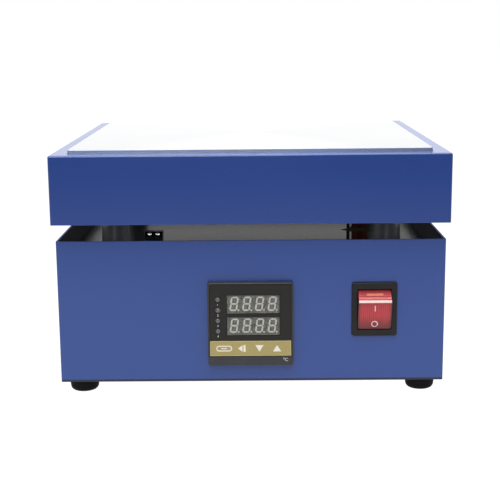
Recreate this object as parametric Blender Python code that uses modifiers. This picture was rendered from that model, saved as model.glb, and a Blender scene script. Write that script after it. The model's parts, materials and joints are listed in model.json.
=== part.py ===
"""Electronic hot plate for preheating circuit boards.

Two folded steel housings stand one above the other on round standoffs. The upper one carries the heating
plate with its element, insulation and leads. The lower one holds the temperature controller, the power
switch, the solid state relay and the mains inlet, and a deck plate closes its mouth.
Sizes are in metres. The origin is under the middle of the object, on the plane that the feet stand on.
X runs to the right, Y to the back and Z up. The front panel faces -Y.
"""

import math

import bmesh
import bpy
from mathutils import Matrix, Vector

# Clearances shared by all pieces
SEAT = 0.0003
HOLE_CLEAR = 0.0003

# Folded sheet housings
SHEET = 0.0012
BOTTOM_BEND_INNER_R = 0.0010
CORNER_BEND_INNER_R = 0.0004
UPPER_W = 0.2190
UPPER_D = 0.2180
UPPER_H = 0.0383
LOWER_H = 0.0810
SIDE_OVERHANG = 0.0005
END_OVERHANG = 0.0110
HOUSING_GAP = 0.0110

# Heating plate and what lies under it
RIM_SIDE = 0.0090
RIM_END = 0.0085
PLATE_T = 0.0100
PLATE_PROUD = 0.0022
PLATE_EDGE = 0.0006
PLATE_CLEAR = 0.0005
BOARD_INSET = 0.0010
BOARD_RIM = 0.0090
ELEMENT_D = 0.0080
ELEMENT_RUNS = 4
ELEMENT_IN_X = 0.0240
ELEMENT_IN_Y = 0.0460
ELEMENT_TAIL_IN = 0.0380
ELEMENT_BEND_STEPS = 8
PROBE_D = 0.0040
PROBE_DEPTH = 0.0060

# Deck, standoffs and the screws that clamp the stack
DECK_T = 0.0010
DECK_DROP = 0.0144
DECK_FLANGE = 0.0120
STANDOFF_D = 0.0158
STANDOFF_CHAMFER = 0.0008
STANDOFF_IN_X = 0.0198
STANDOFF_IN_Y = 0.0400
CLAMP_SCREW_D = 0.0050
CLAMP_HEAD_D = 0.0090
CLAMP_HEAD_H = 0.0032
CLAMP_REACH = 0.0055
DECK_SCREW_D = 0.0030
DECK_SCREW_HEAD_D = 0.0056
DECK_SCREW_REACH = 0.0040
DECK_SCREW_IN_Y = 0.0380
PAN_HEAD_CROWN = ((0.60, 0.92), (0.92, 0.55))

# Feet, and the pressed bosses of the lower case that carry them
STAND_H = 0.0082
BOSS_H = 0.0009
BOSS_D = 0.0176
BOSS_EDGE = 0.0003
FOOT_TOP_D = 0.0174
FOOT_BOTTOM_D = 0.0148
FOOT_EDGE_R = 0.0022
FOOT_IN_X = 0.0117
FOOT_IN_Y = 0.0115
FOOT_RECESS_D = 0.0082
FOOT_RECESS_H = 0.0040
FOOT_SCREW_D = 0.0040
FOOT_HEAD_D = 0.0070
FOOT_HEAD_H = 0.0024
FOOT_SCREW_REACH = 0.0040

# Leads through the gap
LEAD_D = 0.0044
PROBE_LEAD_D = 0.0018
LIVE_IN_X = 0.0363
LEAD_PITCH = 0.0049
PROBE_LEAD_PITCH = 0.0044
PROBE_OFF_X = 0.0237
LEAD_OFF_Y = 0.0020
LEAD_STEP = 0.0070
LEAD_END_CLEAR = 0.0004
LEAD_STRAIGHT = 0.0045
LEAD_PASS = 0.0056
LEAD_DROP_TOP = 0.0080
LEAD_DROP_BOTTOM = 0.0100
LEAD_TURN_IN = ((0.0020, -0.0042, -0.0018), (0.0, -0.0006, -0.0070))
LIVE_TURN_X = 0.0130
LIVE_RETURN_X = 0.0068
LIVE_RISE = ((0.0, -0.0040, 0.0200), (0.0, 0.0, 0.0060))
SIDE_LANE_CLEAR = 0.0013
NEUTRAL_TURN_OUT = ((-0.0050, -0.0040, 0.0), (0.0, -0.0140, 0.0))
NEUTRAL_LANE_END = 0.0200
NEUTRAL_TURN_IN = ((0.0128, 0.0048, 0.0), (0.0070, 0.0, -0.0006), (0.0012, 0.0, -0.0060))
NEUTRAL_RISE = ((0.0, 0.0160, 0.0090), (0.0, 0.0080, 0.0006))
PROBE_BEND = ((0.0, 0.0, -0.0012), (0.0040, 0.0, -0.0030))
PROBE_LANE = (-0.0050, 0.0, -0.0020)
PROBE_RISE = ((0.0160, 0.0120, 0.0080), (0.0, 0.0040, 0.0))
LEAD_SLOT_L = 0.0170
LEAD_SLOT_W = 0.0062
GROMMET_WALL = 0.0014
GROMMET_FLANGE = 0.0016
GROMMET_FLANGE_T = 0.0014
TIE_UP = 0.0098
TIE_WALL = 0.0009
TIE_H = 0.0024
TIE_TAIL = 0.0060
TIE_TAIL_ROOT = 0.0034

# Terminal block on the deck
TERMINAL_OFF_X = 0.0201
TERMINAL_OFF_Y = 0.0070
TERMINAL_W = 0.0110
TERMINAL_D = 0.0080
TERMINAL_H = 0.0075
TERMINAL_SLOPE = 0.0028
TERMINAL_PITCH = 0.0050
TERMINAL_SCREW_D = 0.0026
TERMINAL_SCREW_H = 0.0006

# Vents of the lower case
VENT_COUNT = 7
VENT_PITCH = 0.0080
VENT_W = 0.0030
VENT_L = 0.0260
VENT_IN_X = 0.0590
VENT_Z = 0.0400
FLOOR_VENT_IN_Y = 0.0420

# Temperature controller, seen from the front panel
CONTROLLER_X = -0.0005
CONTROLLER_Z = 0.0337
CONTROLLER_SIDE = 0.0480
CONTROLLER_PROUD = 0.0045
CONTROLLER_CORNER = 0.0010
CONTROLLER_BODY = 0.0444
CONTROLLER_DEPTH = 0.0720
CONTROLLER_WALL = 0.0015
PANEL_CLEAR = 0.0003
FACE_SIDE_MARGIN = 0.0012
FACE_TOP_MARGIN = 0.0009
FACE_SINK = 0.0003
FASCIA_H = 0.0324
FASCIA_T = 0.0014
DISPLAY_W = 0.0295
DISPLAY_H = 0.0104
DISPLAY_DEPTH = 0.0070
DISPLAY_X = 0.0016
DISPLAY_TOP = 0.0073
DISPLAY_PITCH = 0.0126
LAMP_D = 0.0028
LAMP_X = -0.0183
LAMP_TOP = 0.0097
LAMP_PITCH = 0.0061
LAMP_COUNT = 4
GUIDE_T = 0.0014
GUIDE_MARGIN = 0.0006
STRIP_H = 0.0087
STRIP_T = 0.0012
KEY_COUNT = 4
KEY_ROW_IN = 0.0029
KEY_GAP = 0.00115
KEY_H = 0.0066
KEY_PROUD = 0.0002
KEY_CLEAR = 0.0002
KEY_LIP = 0.0003
KEY_LIP_T = 0.0008
KEY_TRAVEL = 0.0005
BOARD_T = 0.0016
PUSH_SWITCH = 0.0060
REAR_BLOCK_T = 0.0100
REAR_PLUG = 0.0040
REAR_ROWS = 5
REAR_ROW_PITCH = 0.0078
REAR_COLUMN_X = 0.0130
REAR_POCKET = 0.0064
REAR_POCKET_DEPTH = 0.0055
REAR_SCREW_D = 0.0046
REAR_SCREW_H = 0.0022
BRACKET_OFF = 0.0040
BRACKET_T = 0.0080
BRACKET_WALL = 0.0024
BRACKET_EAR = 0.0070
BRACKET_SCREW_D = 0.0030
BRACKET_SCREW_HEAD_D = 0.0054
BRACKET_SCREW_HEAD_H = 0.0018

# Power switch
SWITCH_IN_X = 0.0397
SWITCH_Z = 0.0413
SWITCH_W = 0.0255
SWITCH_H = 0.0310
SWITCH_PROUD = 0.0020
SWITCH_CORNER = 0.0012
SWITCH_BODY_W = 0.0222
SWITCH_BODY_H = 0.0284
SWITCH_DEPTH = 0.0200
SWITCH_LIP = 0.0014
SWITCH_OPENING_H = 0.0235
SWITCH_CAVITY_DEPTH = 0.0118
BLADE_L = 0.0080
BLADE_W = 0.0063
BLADE_T = 0.0008
BLADE_X = 0.0055
BLADE_Z = 0.0070
ROCKER_W = 0.0186
ROCKER_CLEAR = 0.0003
ROCKER_TILT = math.radians(16)
ROCKER_FACE_HALF = 0.0089
ROCKER_FACE_OUT = 0.00925
ROCKER_DISH = 0.0004
ROCKER_CREST_RUN = 0.0005
ROCKER_CREST_DROP = 0.0003
ROCKER_KNEE = (0.45, 0.42)
ROCKER_END_R = 0.0122
ROCKER_END_OUT = 0.0024
ROCKER_BACK = 0.0016
ROCKER_PIVOT_IN = 0.0059
PIVOT_PIN_D = 0.0030
PIVOT_PIN_L = 0.0009

# Mains inlet in the back panel
INLET_IN_X = 0.0470
INLET_Z = 0.0400
INLET_W = 0.0500
INLET_H = 0.0420
INLET_FLANGE_T = 0.0024
INLET_CORNER = 0.0040
INLET_BODY_W = 0.0290
INLET_BODY_H = 0.0370
INLET_DEPTH = 0.0240
INLET_SCREW_X = 0.0200
INLET_SCREW_D = 0.0030
INLET_HEAD_D = 0.0060
INLET_HEAD_H = 0.0020
INLET_SCREW_REACH = 0.0050
SOCKET_W = 0.0244
SOCKET_H = 0.0168
SOCKET_CHAMFER = 0.0048
SOCKET_DEPTH = 0.0170
SOCKET_Z = 0.0070
PIN_W = 0.0020
PIN_H = 0.0040
PIN_SPACING = 0.0070
PIN_STAGGER = 0.0020
PIN_SINK = 0.0040
PIN_TAB = 0.0060
DRAWER_Z = -0.0100
DRAWER_W = 0.0240
DRAWER_H = 0.0100
DRAWER_DEPTH = 0.0170
DRAWER_FACE = 0.0014
DRAWER_WALL = 0.0012
DRAWER_LIP = 0.0020
FUSE_D = 0.0050
FUSE_L = 0.0200
FUSE_CAP_L = 0.0050
FUSE_CAP_STEP = 0.0002

# Solid state relay on the floor of the lower case
RELAY_IN_X = 0.0450
RELAY_Y = 0.0060
RELAY_W = 0.0450
RELAY_L = 0.0600
RELAY_H = 0.0230
RELAY_BASE = 0.0045
RELAY_STEP = 0.0070
RELAY_EDGE = 0.0015
RELAY_POCKET = 0.0090
RELAY_POCKET_X = 0.0120
RELAY_POCKET_Y = 0.0200
RELAY_POCKET_DEPTH = 0.0060

# Earth screw on the floor of the lower case
EARTH_IN_Y = 0.0580
EARTH_D = 0.0040
EARTH_HEAD_PART = 0.3
EARTH_HEAD_TAPER = 0.8
EARTH_NUT_D = 0.0080
EARTH_NUT_H = 0.0032
EARTH_REACH = 0.0080

# Sizes and places that follow from the upper housing
LOWER_W = UPPER_W - 2 * SIDE_OVERHANG
LOWER_D = UPPER_D - 2 * END_OVERHANG
PLATE_W = UPPER_W - 2 * (RIM_SIDE + PLATE_CLEAR)
PLATE_D = UPPER_D - 2 * (RIM_END + PLATE_CLEAR)
BOARD_W = PLATE_W - 2 * BOARD_INSET
BOARD_D = PLATE_D - 2 * BOARD_INSET
STANDOFF_X = PLATE_W / 2 - STANDOFF_IN_X
STANDOFF_Y = PLATE_D / 2 - STANDOFF_IN_Y
ELEMENT_PITCH = (PLATE_D - 2 * ELEMENT_IN_Y) / (ELEMENT_RUNS - 1)
ELEMENT_REACH = PLATE_W / 2 - ELEMENT_IN_X - ELEMENT_PITCH / 2
ELEMENT_TAIL_X = PLATE_W / 2 - ELEMENT_TAIL_IN
LIVE_X = PLATE_W / 2 - LIVE_IN_X
NEUTRAL_X = LIVE_X + LEAD_PITCH
PROBE_LEAD_X = LIVE_X - PROBE_LEAD_PITCH
LEAD_Y = -ELEMENT_PITCH - LEAD_OFF_Y
PROBE_X = LIVE_X - PROBE_OFF_X
PROBE_Y = -ELEMENT_PITCH
LEAD_SLOT_X = (NEUTRAL_X + LEAD_D / 2 + PROBE_LEAD_X - PROBE_LEAD_D / 2) / 2
GROMMET_HOLE = (LEAD_SLOT_L + 2 * (GROMMET_WALL + HOLE_CLEAR), LEAD_SLOT_W + 2 * (GROMMET_WALL + HOLE_CLEAR))
TERMINAL_X = TERMINAL_OFF_X - STANDOFF_X
TERMINAL_Y = LEAD_Y + TERMINAL_OFF_Y
FOOT_X = LOWER_W / 2 - FOOT_IN_X
FOOT_Y = LOWER_D / 2 - FOOT_IN_Y
DECK_SCREW_Y = LOWER_D / 2 - DECK_SCREW_IN_Y
SWITCH_X = LOWER_W / 2 - SWITCH_IN_X
INLET_X = INLET_IN_X - LOWER_W / 2
VENT_X = LOWER_W / 2 - VENT_IN_X
FLOOR_VENT_Y = LOWER_D / 2 - FLOOR_VENT_IN_Y
RELAY_X = LOWER_W / 2 - RELAY_IN_X
EARTH_Y = LOWER_D / 2 - EARTH_IN_Y
KEY_PITCH = (CONTROLLER_SIDE - 2 * (FACE_SIDE_MARGIN + KEY_ROW_IN)) / KEY_COUNT
KEY_W = KEY_PITCH - KEY_GAP

# Heights above the foot plane, and panel planes
CASE_BOTTOM = STAND_H
BOSS_BOTTOM = CASE_BOTTOM - BOSS_H
CASE_TOP = CASE_BOTTOM + LOWER_H
DECK_TOP = CASE_TOP - DECK_DROP
UPPER_BOTTOM = CASE_TOP + HOUSING_GAP
TIE_Z = DECK_TOP + TIE_UP
UPPER_TOP = UPPER_BOTTOM + UPPER_H
PLATE_TOP = UPPER_TOP + PLATE_PROUD
PLATE_BOTTOM = PLATE_TOP - PLATE_T
BOARD_BOTTOM = UPPER_BOTTOM + SHEET + SEAT
BOARD_TOP = PLATE_BOTTOM - SEAT
ELEMENT_Z = BOARD_TOP - ELEMENT_D / 2
POCKET_FLOOR = ELEMENT_Z - ELEMENT_D / 2 - SEAT
FRONT = -LOWER_D / 2
BACK = LOWER_D / 2

# Facets around round pieces
FINE = 24
PLAIN = 12

COLOURS = {
    "blue_paint": ((0.060, 0.095, 0.290), 0.42, 0.0),
    "plate_aluminium": ((0.800, 0.810, 0.820), 0.28, 1.0),
    "zinc_steel": ((0.420, 0.410, 0.400), 0.40, 1.0),
    "polished_steel": ((0.720, 0.720, 0.730), 0.14, 1.0),
    "element_steel": ((0.350, 0.330, 0.310), 0.40, 1.0),
    "ceramic_fibre": ((0.780, 0.760, 0.700), 0.95, 0.0),
    "black_rubber": ((0.012, 0.012, 0.012), 0.75, 0.0),
    "black_plastic": ((0.018, 0.018, 0.020), 0.45, 0.0),
    "fascia_film": ((0.026, 0.022, 0.028), 0.30, 0.0),
    "display_grey": ((0.155, 0.160, 0.140), 0.30, 0.0),
    "lamp_clear": ((0.120, 0.100, 0.100), 0.20, 0.0),
    "key_gold": ((0.380, 0.280, 0.100), 0.45, 0.0),
    "circuit_green": ((0.020, 0.120, 0.050), 0.50, 0.0),
    "rocker_red": ((0.480, 0.020, 0.025), 0.22, 0.0),
    "red_sleeve": ((0.150, 0.012, 0.012), 0.80, 0.0),
    "brown_braid": ((0.180, 0.110, 0.050), 0.80, 0.0),
    "brass": ((0.600, 0.430, 0.180), 0.30, 1.0),
    "fuse_glass": ((0.620, 0.640, 0.640), 0.10, 0.0),
    "relay_white": ((0.700, 0.700, 0.680), 0.50, 0.0),
}


def clear_scene():
    for old in list(bpy.data.objects):
        bpy.data.objects.remove(old, do_unlink=True)


def new_collection(name):
    collection = bpy.data.collections.new(name)
    bpy.context.scene.collection.children.link(collection)
    return collection


def material(name):
    found = bpy.data.materials.get(name)
    if found:
        return found
    colour, roughness, metallic = COLOURS[name]
    made = bpy.data.materials.new(name)
    made.use_nodes = True
    surface = made.node_tree.nodes["Principled BSDF"]
    surface.inputs["Base Color"].default_value = (*colour, 1.0)
    surface.inputs["Roughness"].default_value = roughness
    surface.inputs["Metallic"].default_value = metallic
    return made


clear_scene()
PARTS = new_collection("pcb_preheater")
CUTTERS = new_collection("cutters")


def anchor(name, at):
    """An empty that carries one sub-assembly."""
    empty = bpy.data.objects.new(name, None)
    PARTS.objects.link(empty)
    empty.location = at
    empty.empty_display_size = 0.02
    return empty


def placed(obj, at, look, parent=None, turn=(0.0, 0.0, 0.0)):
    """Links the object as a piece with a material, or as a cutter where look is None."""
    obj.parent = parent
    obj.location = at
    obj.rotation_euler = turn
    if look is None:
        CUTTERS.objects.link(obj)
        obj.hide_render = True
        obj.display_type = "WIRE"
    else:
        PARTS.objects.link(obj)
        obj.data.materials.append(material(look))
    return obj


def mesh_object(name, bm):
    mesh = bpy.data.meshes.new(name)
    bm.to_mesh(mesh)
    bm.free()
    return bpy.data.objects.new(name, mesh)


def box(name, size, at, look=None, parent=None):
    bm = bmesh.new()
    bmesh.ops.create_cube(bm, size=1.0)
    bmesh.ops.scale(bm, vec=Vector(size), verts=bm.verts)
    return placed(mesh_object(name, bm), at, look, parent)


def box_between(name, low, high, look=None, parent=None):
    """A box from its low corner to its high corner."""
    low, high = Vector(low), Vector(high)
    return box(name, high - low, (low + high) / 2, look, parent)


def rod(name, diameter, length, at, axis, look=None, parent=None, facets=PLAIN):
    """A cylinder centred at a point, along X, Y or Z."""
    bm = bmesh.new()
    turn = {"X": Matrix.Rotation(math.pi / 2, 4, "Y"), "Y": Matrix.Rotation(math.pi / 2, 4, "X")}
    bmesh.ops.create_cone(
        bm,
        cap_ends=True,
        segments=facets,
        radius1=diameter / 2,
        radius2=diameter / 2,
        depth=length,
        matrix=turn.get(axis, Matrix.Identity(4)),
    )
    obj = placed(mesh_object(name, bm), at, look, parent)
    obj.data.shade_smooth()
    obj.data.set_sharp_from_angle(angle=math.radians(40))
    return obj


def turned(name, profile, at, look=None, parent=None, turn=(0.0, 0.0, 0.0), facets=FINE, ring=False):
    """A profile of (radius, height) points, top to bottom, turned about its own Z by a Screw modifier."""
    bm = bmesh.new()
    points = [bm.verts.new((r, 0.0, z)) for r, z in profile]
    pairs = list(zip(points, points[1:]))
    if ring:
        pairs.append((points[-1], points[0]))
    for first, second in pairs:
        bm.edges.new((first, second))
    obj = placed(mesh_object(name, bm), at, look, parent, turn)
    screw = obj.modifiers.new("turn", "SCREW")
    screw.steps = screw.render_steps = facets
    screw.use_merge_vertices = True
    screw.merge_threshold = 0.00001
    screw.use_smooth_shade = True
    return obj


def prism(name, outline, thickness, plane, at, look=None, parent=None, turn=(0.0, 0.0, 0.0)):
    """A closed outline in the XY, XZ or YZ plane, extruded evenly to both sides of that plane."""
    curve = bpy.data.curves.new(name, "CURVE")
    curve.dimensions = "2D"
    curve.fill_mode = "BOTH"
    curve.extrude = thickness / 2
    spline = curve.splines.new("POLY")
    spline.points.add(len(outline) - 1)
    for point, (u, v) in zip(spline.points, outline):
        point.co = (u, v, 0.0, 1.0)
    spline.use_cyclic_u = True
    flat = bpy.data.objects.new(name, curve)
    CUTTERS.objects.link(flat)
    bpy.context.view_layer.update()
    evaluated = flat.evaluated_get(bpy.context.evaluated_depsgraph_get())
    mesh = bpy.data.meshes.new_from_object(evaluated)
    bpy.data.objects.remove(flat)
    axes = {"XY": ((1, 0, 0), (0, 1, 0)), "XZ": ((1, 0, 0), (0, 0, 1)), "YZ": ((0, 1, 0), (0, 0, 1))}
    across, up = (Vector(axis) for axis in axes[plane])
    facing = Matrix((across, up, across.cross(up))).transposed().to_4x4()
    bm = bmesh.new()
    bm.from_mesh(mesh)
    bmesh.ops.remove_doubles(bm, verts=bm.verts, dist=1e-7)
    bmesh.ops.transform(bm, matrix=facing, verts=bm.verts)
    bmesh.ops.recalc_face_normals(bm, faces=bm.faces)
    bpy.data.meshes.remove(mesh)
    return placed(mesh_object(name, bm), at, look, parent, turn)


def cord(name, points, diameter, look, radii=None):
    """A round lead through the given points; radii scales its thickness at each of them."""
    curve = bpy.data.curves.new(name, "CURVE")
    curve.dimensions = "3D"
    curve.bevel_depth = diameter / 2
    curve.bevel_resolution = 2
    curve.use_fill_caps = True
    spline = curve.splines.new("POLY")
    spline.points.add(len(points) - 1)
    for index, at in enumerate(points):
        spline.points[index].co = (*at, 1.0)
        spline.points[index].radius = radii[index] if radii else 1.0
    return placed(bpy.data.objects.new(name, curve), (0, 0, 0), look)


def smooth_route(route, spacing):
    """Points at about the spacing on a Catmull-Rom curve through the route's own points."""
    route = [Vector(at) for at in route]
    padded = [2 * route[0] - route[1], *route, 2 * route[-1] - route[-2]]
    points = []
    for before, start, end, after in zip(padded, padded[1:], padded[2:], padded[3:]):
        steps = max(1, round((end - start).length / spacing))
        for step in range(steps):
            t = step / steps
            points.append(
                0.5
                * (
                    2 * start
                    + t * (end - before)
                    + t**2 * (2 * before - 5 * start + 4 * end - after)
                    + t**3 * (3 * start - before - 3 * end + after)
                )
            )
    return [*points, route[-1]]


def stadium(length, width, facets=5):
    """A slot's outline, round at both ends, along U."""
    centre, radius = (length - width) / 2, width / 2
    outline = []
    for end in (1, -1):
        for step in range(facets + 1):
            angle = math.pi * (step / facets - 0.5)
            outline.append((end * (centre + radius * math.cos(angle)), end * radius * math.sin(angle)))
    return outline


def boolean(obj, operation, others):
    for other in others:
        change = obj.modifiers.new(operation.lower(), "BOOLEAN")
        change.operation = operation
        change.object = other


def cut(obj, *cutters):
    boolean(obj, "DIFFERENCE", cutters)


def join(obj, *others):
    boolean(obj, "UNION", others)


def round_edges(obj, radius, chosen, facets=2):
    """Bevels the edges that chosen(middle, direction) gives a weight to, with radius at weight 1."""
    weights = obj.data.attributes.new("bevel_weight_edge", "FLOAT", "EDGE")
    for edge in obj.data.edges:
        start, end = (obj.data.vertices[index].co for index in edge.vertices)
        weights.data[edge.index].value = float(chosen((start + end) / 2, (end - start).normalized()))
    bevel = obj.modifiers.new("round", "BEVEL")
    bevel.limit_method = "WEIGHT"
    bevel.width = radius
    bevel.segments = facets


def folded_case(name, size, bottom, opening, look):
    """A folded sheet box, open at the top, or with a rim turned in to an opening of width and depth."""
    width, depth, height = size
    bm = bmesh.new()
    bmesh.ops.create_cube(bm, size=1.0)
    bmesh.ops.scale(bm, vec=Vector(size), verts=bm.verts)
    bmesh.ops.delete(bm, geom=[face for face in bm.faces if face.normal.z > 0.5], context="FACES_ONLY")
    if opening:
        mouth = [edge for edge in bm.edges if edge.is_boundary]
        grown = bmesh.ops.extrude_edge_only(bm, edges=mouth)["geom"]
        for vertex in (item for item in grown if isinstance(item, bmesh.types.BMVert)):
            vertex.co.x = math.copysign(opening[0] / 2, vertex.co.x)
            vertex.co.y = math.copysign(opening[1] / 2, vertex.co.y)
        bmesh.ops.recalc_face_normals(bm, faces=bm.faces)
    bmesh.ops.translate(bm, vec=Vector((0, 0, height / 2)), verts=bm.verts)
    obj = placed(mesh_object(name, bm), (0, 0, bottom), look)
    bottom_r = BOTTOM_BEND_INNER_R + SHEET
    corner_r = CORNER_BEND_INNER_R + SHEET

    def fold(middle, direction):
        on_side = abs(middle.x) > width / 2 - 1e-5 or abs(middle.y) > depth / 2 - 1e-5
        if abs(direction.z) > 0.9:
            return corner_r / bottom_r
        if middle.z < 1e-5:
            return 1.0
        return corner_r / bottom_r if opening and on_side else 0.0

    round_edges(obj, bottom_r, fold, facets=3)
    sheet = obj.modifiers.new("sheet", "SOLIDIFY")
    sheet.thickness = SHEET
    sheet.offset = -1.0
    sheet.use_even_offset = True
    return obj


def pan_screw(name, at, turn, diameter, length, head_d, head_h, look, parent=None):
    """A screw with a low domed head, whose seat is at its origin and whose shank runs down its -Z."""
    head, shank, point = head_d / 2, diameter / 2, diameter / 6
    profile = [
        (0.0, head_h),
        *((head * out, head_h * up) for out, up in PAN_HEAD_CROWN),
        (head, 0.0),
        (shank, 0.0),
        (shank, -length + point),
        (shank - point, -length),
        (0.0, -length),
    ]
    return turned(name, profile, at, look, parent, turn, PLAIN)


def flush_screw(name, at, turn, diameter, length, head_d, look):
    """A countersunk screw, whose flat top is at its origin and whose shank runs down its -Z."""
    head, shank = head_d / 2, diameter / 2
    rim = head - shank
    profile = [(0.0, 0.0), (head, 0.0), (shank, -rim), (shank, -length + shank / 3)]
    profile += [(shank * 2 / 3, -length), (0.0, -length)]
    return turned(name, profile, at, look, None, turn, PLAIN)


def flush_seat(name, at, turn, diameter, head_d):
    """The cutter of a countersunk screw's seat in the sheet."""
    head, shank, through = head_d / 2 + HOLE_CLEAR, diameter / 2 + HOLE_CLEAR, 4 * SHEET
    profile = [(0.0, SHEET), (head + SHEET, SHEET), (shank, shank - head), (shank, -through), (0.0, -through)]
    return turned(name, profile, at, None, None, turn, PLAIN)


FACING_DOWN = (math.pi, 0.0, 0.0)
FACING_BACK = (-math.pi / 2, 0.0, 0.0)
FACING_RIGHT = (0.0, math.pi / 2, 0.0)
FACING_LEFT = (0.0, -math.pi / 2, 0.0)
CORNERS = {"front_left": (-1, -1), "front_right": (1, -1), "back_left": (-1, 1), "back_right": (1, 1)}


def lead_slot_cutter(name, z, length, width):
    outline = stadium(length, width)
    return prism(name, outline, 4 * GROMMET_FLANGE_T + SHEET, "XY", (LEAD_SLOT_X, LEAD_Y, z))


def foot_boss(name, at):
    """The pressed boss that a foot is screwed to."""
    radius = BOSS_D / 2
    profile = [(0.0, SHEET / 2), (radius, SHEET / 2), (radius, BOSS_EDGE - BOSS_H)]
    profile += [(radius - BOSS_EDGE, -BOSS_H), (0.0, -BOSS_H)]
    return turned(name, profile, at)


def make_lower_case():
    case = folded_case("lower_case", (LOWER_W, LOWER_D, LOWER_H), CASE_BOTTOM, None, "blue_paint")
    through = 4 * SHEET
    for name, (sx, sy) in CORNERS.items():
        join(case, foot_boss(f"foot_boss_{name}", (sx * FOOT_X, sy * FOOT_Y, CASE_BOTTOM)))
    side = CONTROLLER_BODY + 2 * PANEL_CLEAR
    at = (CONTROLLER_X, FRONT, CASE_BOTTOM + CONTROLLER_Z)
    cut(case, box("controller_hole", (side, through, side), at))
    hole = (SWITCH_BODY_W + 2 * PANEL_CLEAR, through, SWITCH_BODY_H + 2 * PANEL_CLEAR)
    cut(case, box("switch_hole", hole, (SWITCH_X, FRONT, CASE_BOTTOM + SWITCH_Z)))
    hole = (INLET_BODY_W + 2 * PANEL_CLEAR, through, INLET_BODY_H + 2 * PANEL_CLEAR)
    cut(case, box("inlet_hole", hole, (INLET_X, BACK, CASE_BOTTOM + INLET_Z)))
    for side in (-1, 1):
        at = (INLET_X + side * INLET_SCREW_X, BACK, CASE_BOTTOM + INLET_Z)
        cut(case, rod(f"inlet_screw_hole_{side}", INLET_SCREW_D + 2 * HOLE_CLEAR, through, at, "Y"))
    for index in range(VENT_COUNT):
        x = (index - (VENT_COUNT - 1) / 2) * VENT_PITCH
        slot = [(v, u) for u, v in stadium(VENT_L, VENT_W, 3)]
        back_at = (VENT_X + x, BACK, CASE_BOTTOM + VENT_Z)
        cut(case, prism(f"back_vent_{index}", slot, through, "XZ", back_at))
        floor_at = (x, FLOOR_VENT_Y, CASE_BOTTOM)
        cut(case, prism(f"floor_vent_{index}", slot, through, "XY", floor_at))
    for name, (sx, sy) in CORNERS.items():
        at = (sx * FOOT_X, sy * FOOT_Y, CASE_BOTTOM)
        cut(case, rod(f"foot_hole_{name}", FOOT_SCREW_D + 2 * HOLE_CLEAR, through, at, "Z"))
        at = (sx * LOWER_W / 2, sy * DECK_SCREW_Y, DECK_TOP - DECK_FLANGE / 2)
        turn = FACING_RIGHT if sx > 0 else FACING_LEFT
        cut(case, flush_seat(f"deck_screw_seat_{name}", at, turn, DECK_SCREW_D, DECK_SCREW_HEAD_D))
    cut(case, rod("earth_hole", EARTH_D + 2 * HOLE_CLEAR, through, (INLET_X, EARTH_Y, CASE_BOTTOM), "Z"))


def make_deck():
    """The deck plate spans the case's mouth, and its side flanges are turned down to take the side screws."""
    width = LOWER_W - 2 * (SHEET + SEAT)
    depth = LOWER_D - 2 * (SHEET + SEAT)
    half, low = width / 2, DECK_TOP - DECK_FLANGE
    inner, under = half - DECK_T, DECK_TOP - DECK_T
    outline = [(-half, low), (-inner, low), (-inner, under), (inner, under), (inner, low), (half, low)]
    outline += [(half, DECK_TOP), (-half, DECK_TOP)]
    deck = prism("deck_plate", outline, depth, "XZ", (0, 0, 0), "zinc_steel")
    for name, (sx, sy) in CORNERS.items():
        at = (sx * STANDOFF_X, sy * STANDOFF_Y, DECK_TOP)
        cut(deck, rod(f"deck_clamp_hole_{name}", CLAMP_SCREW_D + 2 * HOLE_CLEAR, 4 * DECK_T, at, "Z"))
        at = (sx * half, sy * DECK_SCREW_Y, DECK_TOP - DECK_FLANGE / 2)
        cut(deck, rod(f"deck_flange_hole_{name}", DECK_SCREW_D + 2 * HOLE_CLEAR, 4 * DECK_T, at, "X"))
        turn = FACING_RIGHT if sx > 0 else FACING_LEFT
        at = (sx * LOWER_W / 2, sy * DECK_SCREW_Y, DECK_TOP - DECK_FLANGE / 2)
        reach = SHEET + SEAT + DECK_T + DECK_SCREW_REACH
        flush_screw(f"deck_screw_{name}", at, turn, DECK_SCREW_D, reach, DECK_SCREW_HEAD_D, "zinc_steel")
    cut(deck, lead_slot_cutter("deck_lead_slot", DECK_TOP, *GROMMET_HOLE))


def make_stack():
    """Standoffs and the long screws that clamp deck, upper housing and heating plate together."""
    bore = CLAMP_SCREW_D / 2 + HOLE_CLEAR
    radius, chamfer = STANDOFF_D / 2, STANDOFF_CHAMFER
    bottom, top = DECK_TOP + SEAT, UPPER_BOTTOM - SEAT
    profile = [(bore, top), (radius - chamfer, top), (radius, top - chamfer)]
    profile += [(radius, bottom + chamfer), (radius - chamfer, bottom), (bore, bottom)]
    seat = DECK_TOP - DECK_T - SEAT
    reach = PLATE_BOTTOM + CLAMP_REACH - seat
    for name, (sx, sy) in CORNERS.items():
        x, y = sx * STANDOFF_X, sy * STANDOFF_Y
        turned(f"standoff_{name}", profile, (x, y, 0), "polished_steel", ring=True)
        pan_screw(
            f"clamp_screw_{name}",
            (x, y, seat),
            FACING_DOWN,
            CLAMP_SCREW_D,
            reach,
            CLAMP_HEAD_D,
            CLAMP_HEAD_H,
            "zinc_steel",
        )


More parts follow.
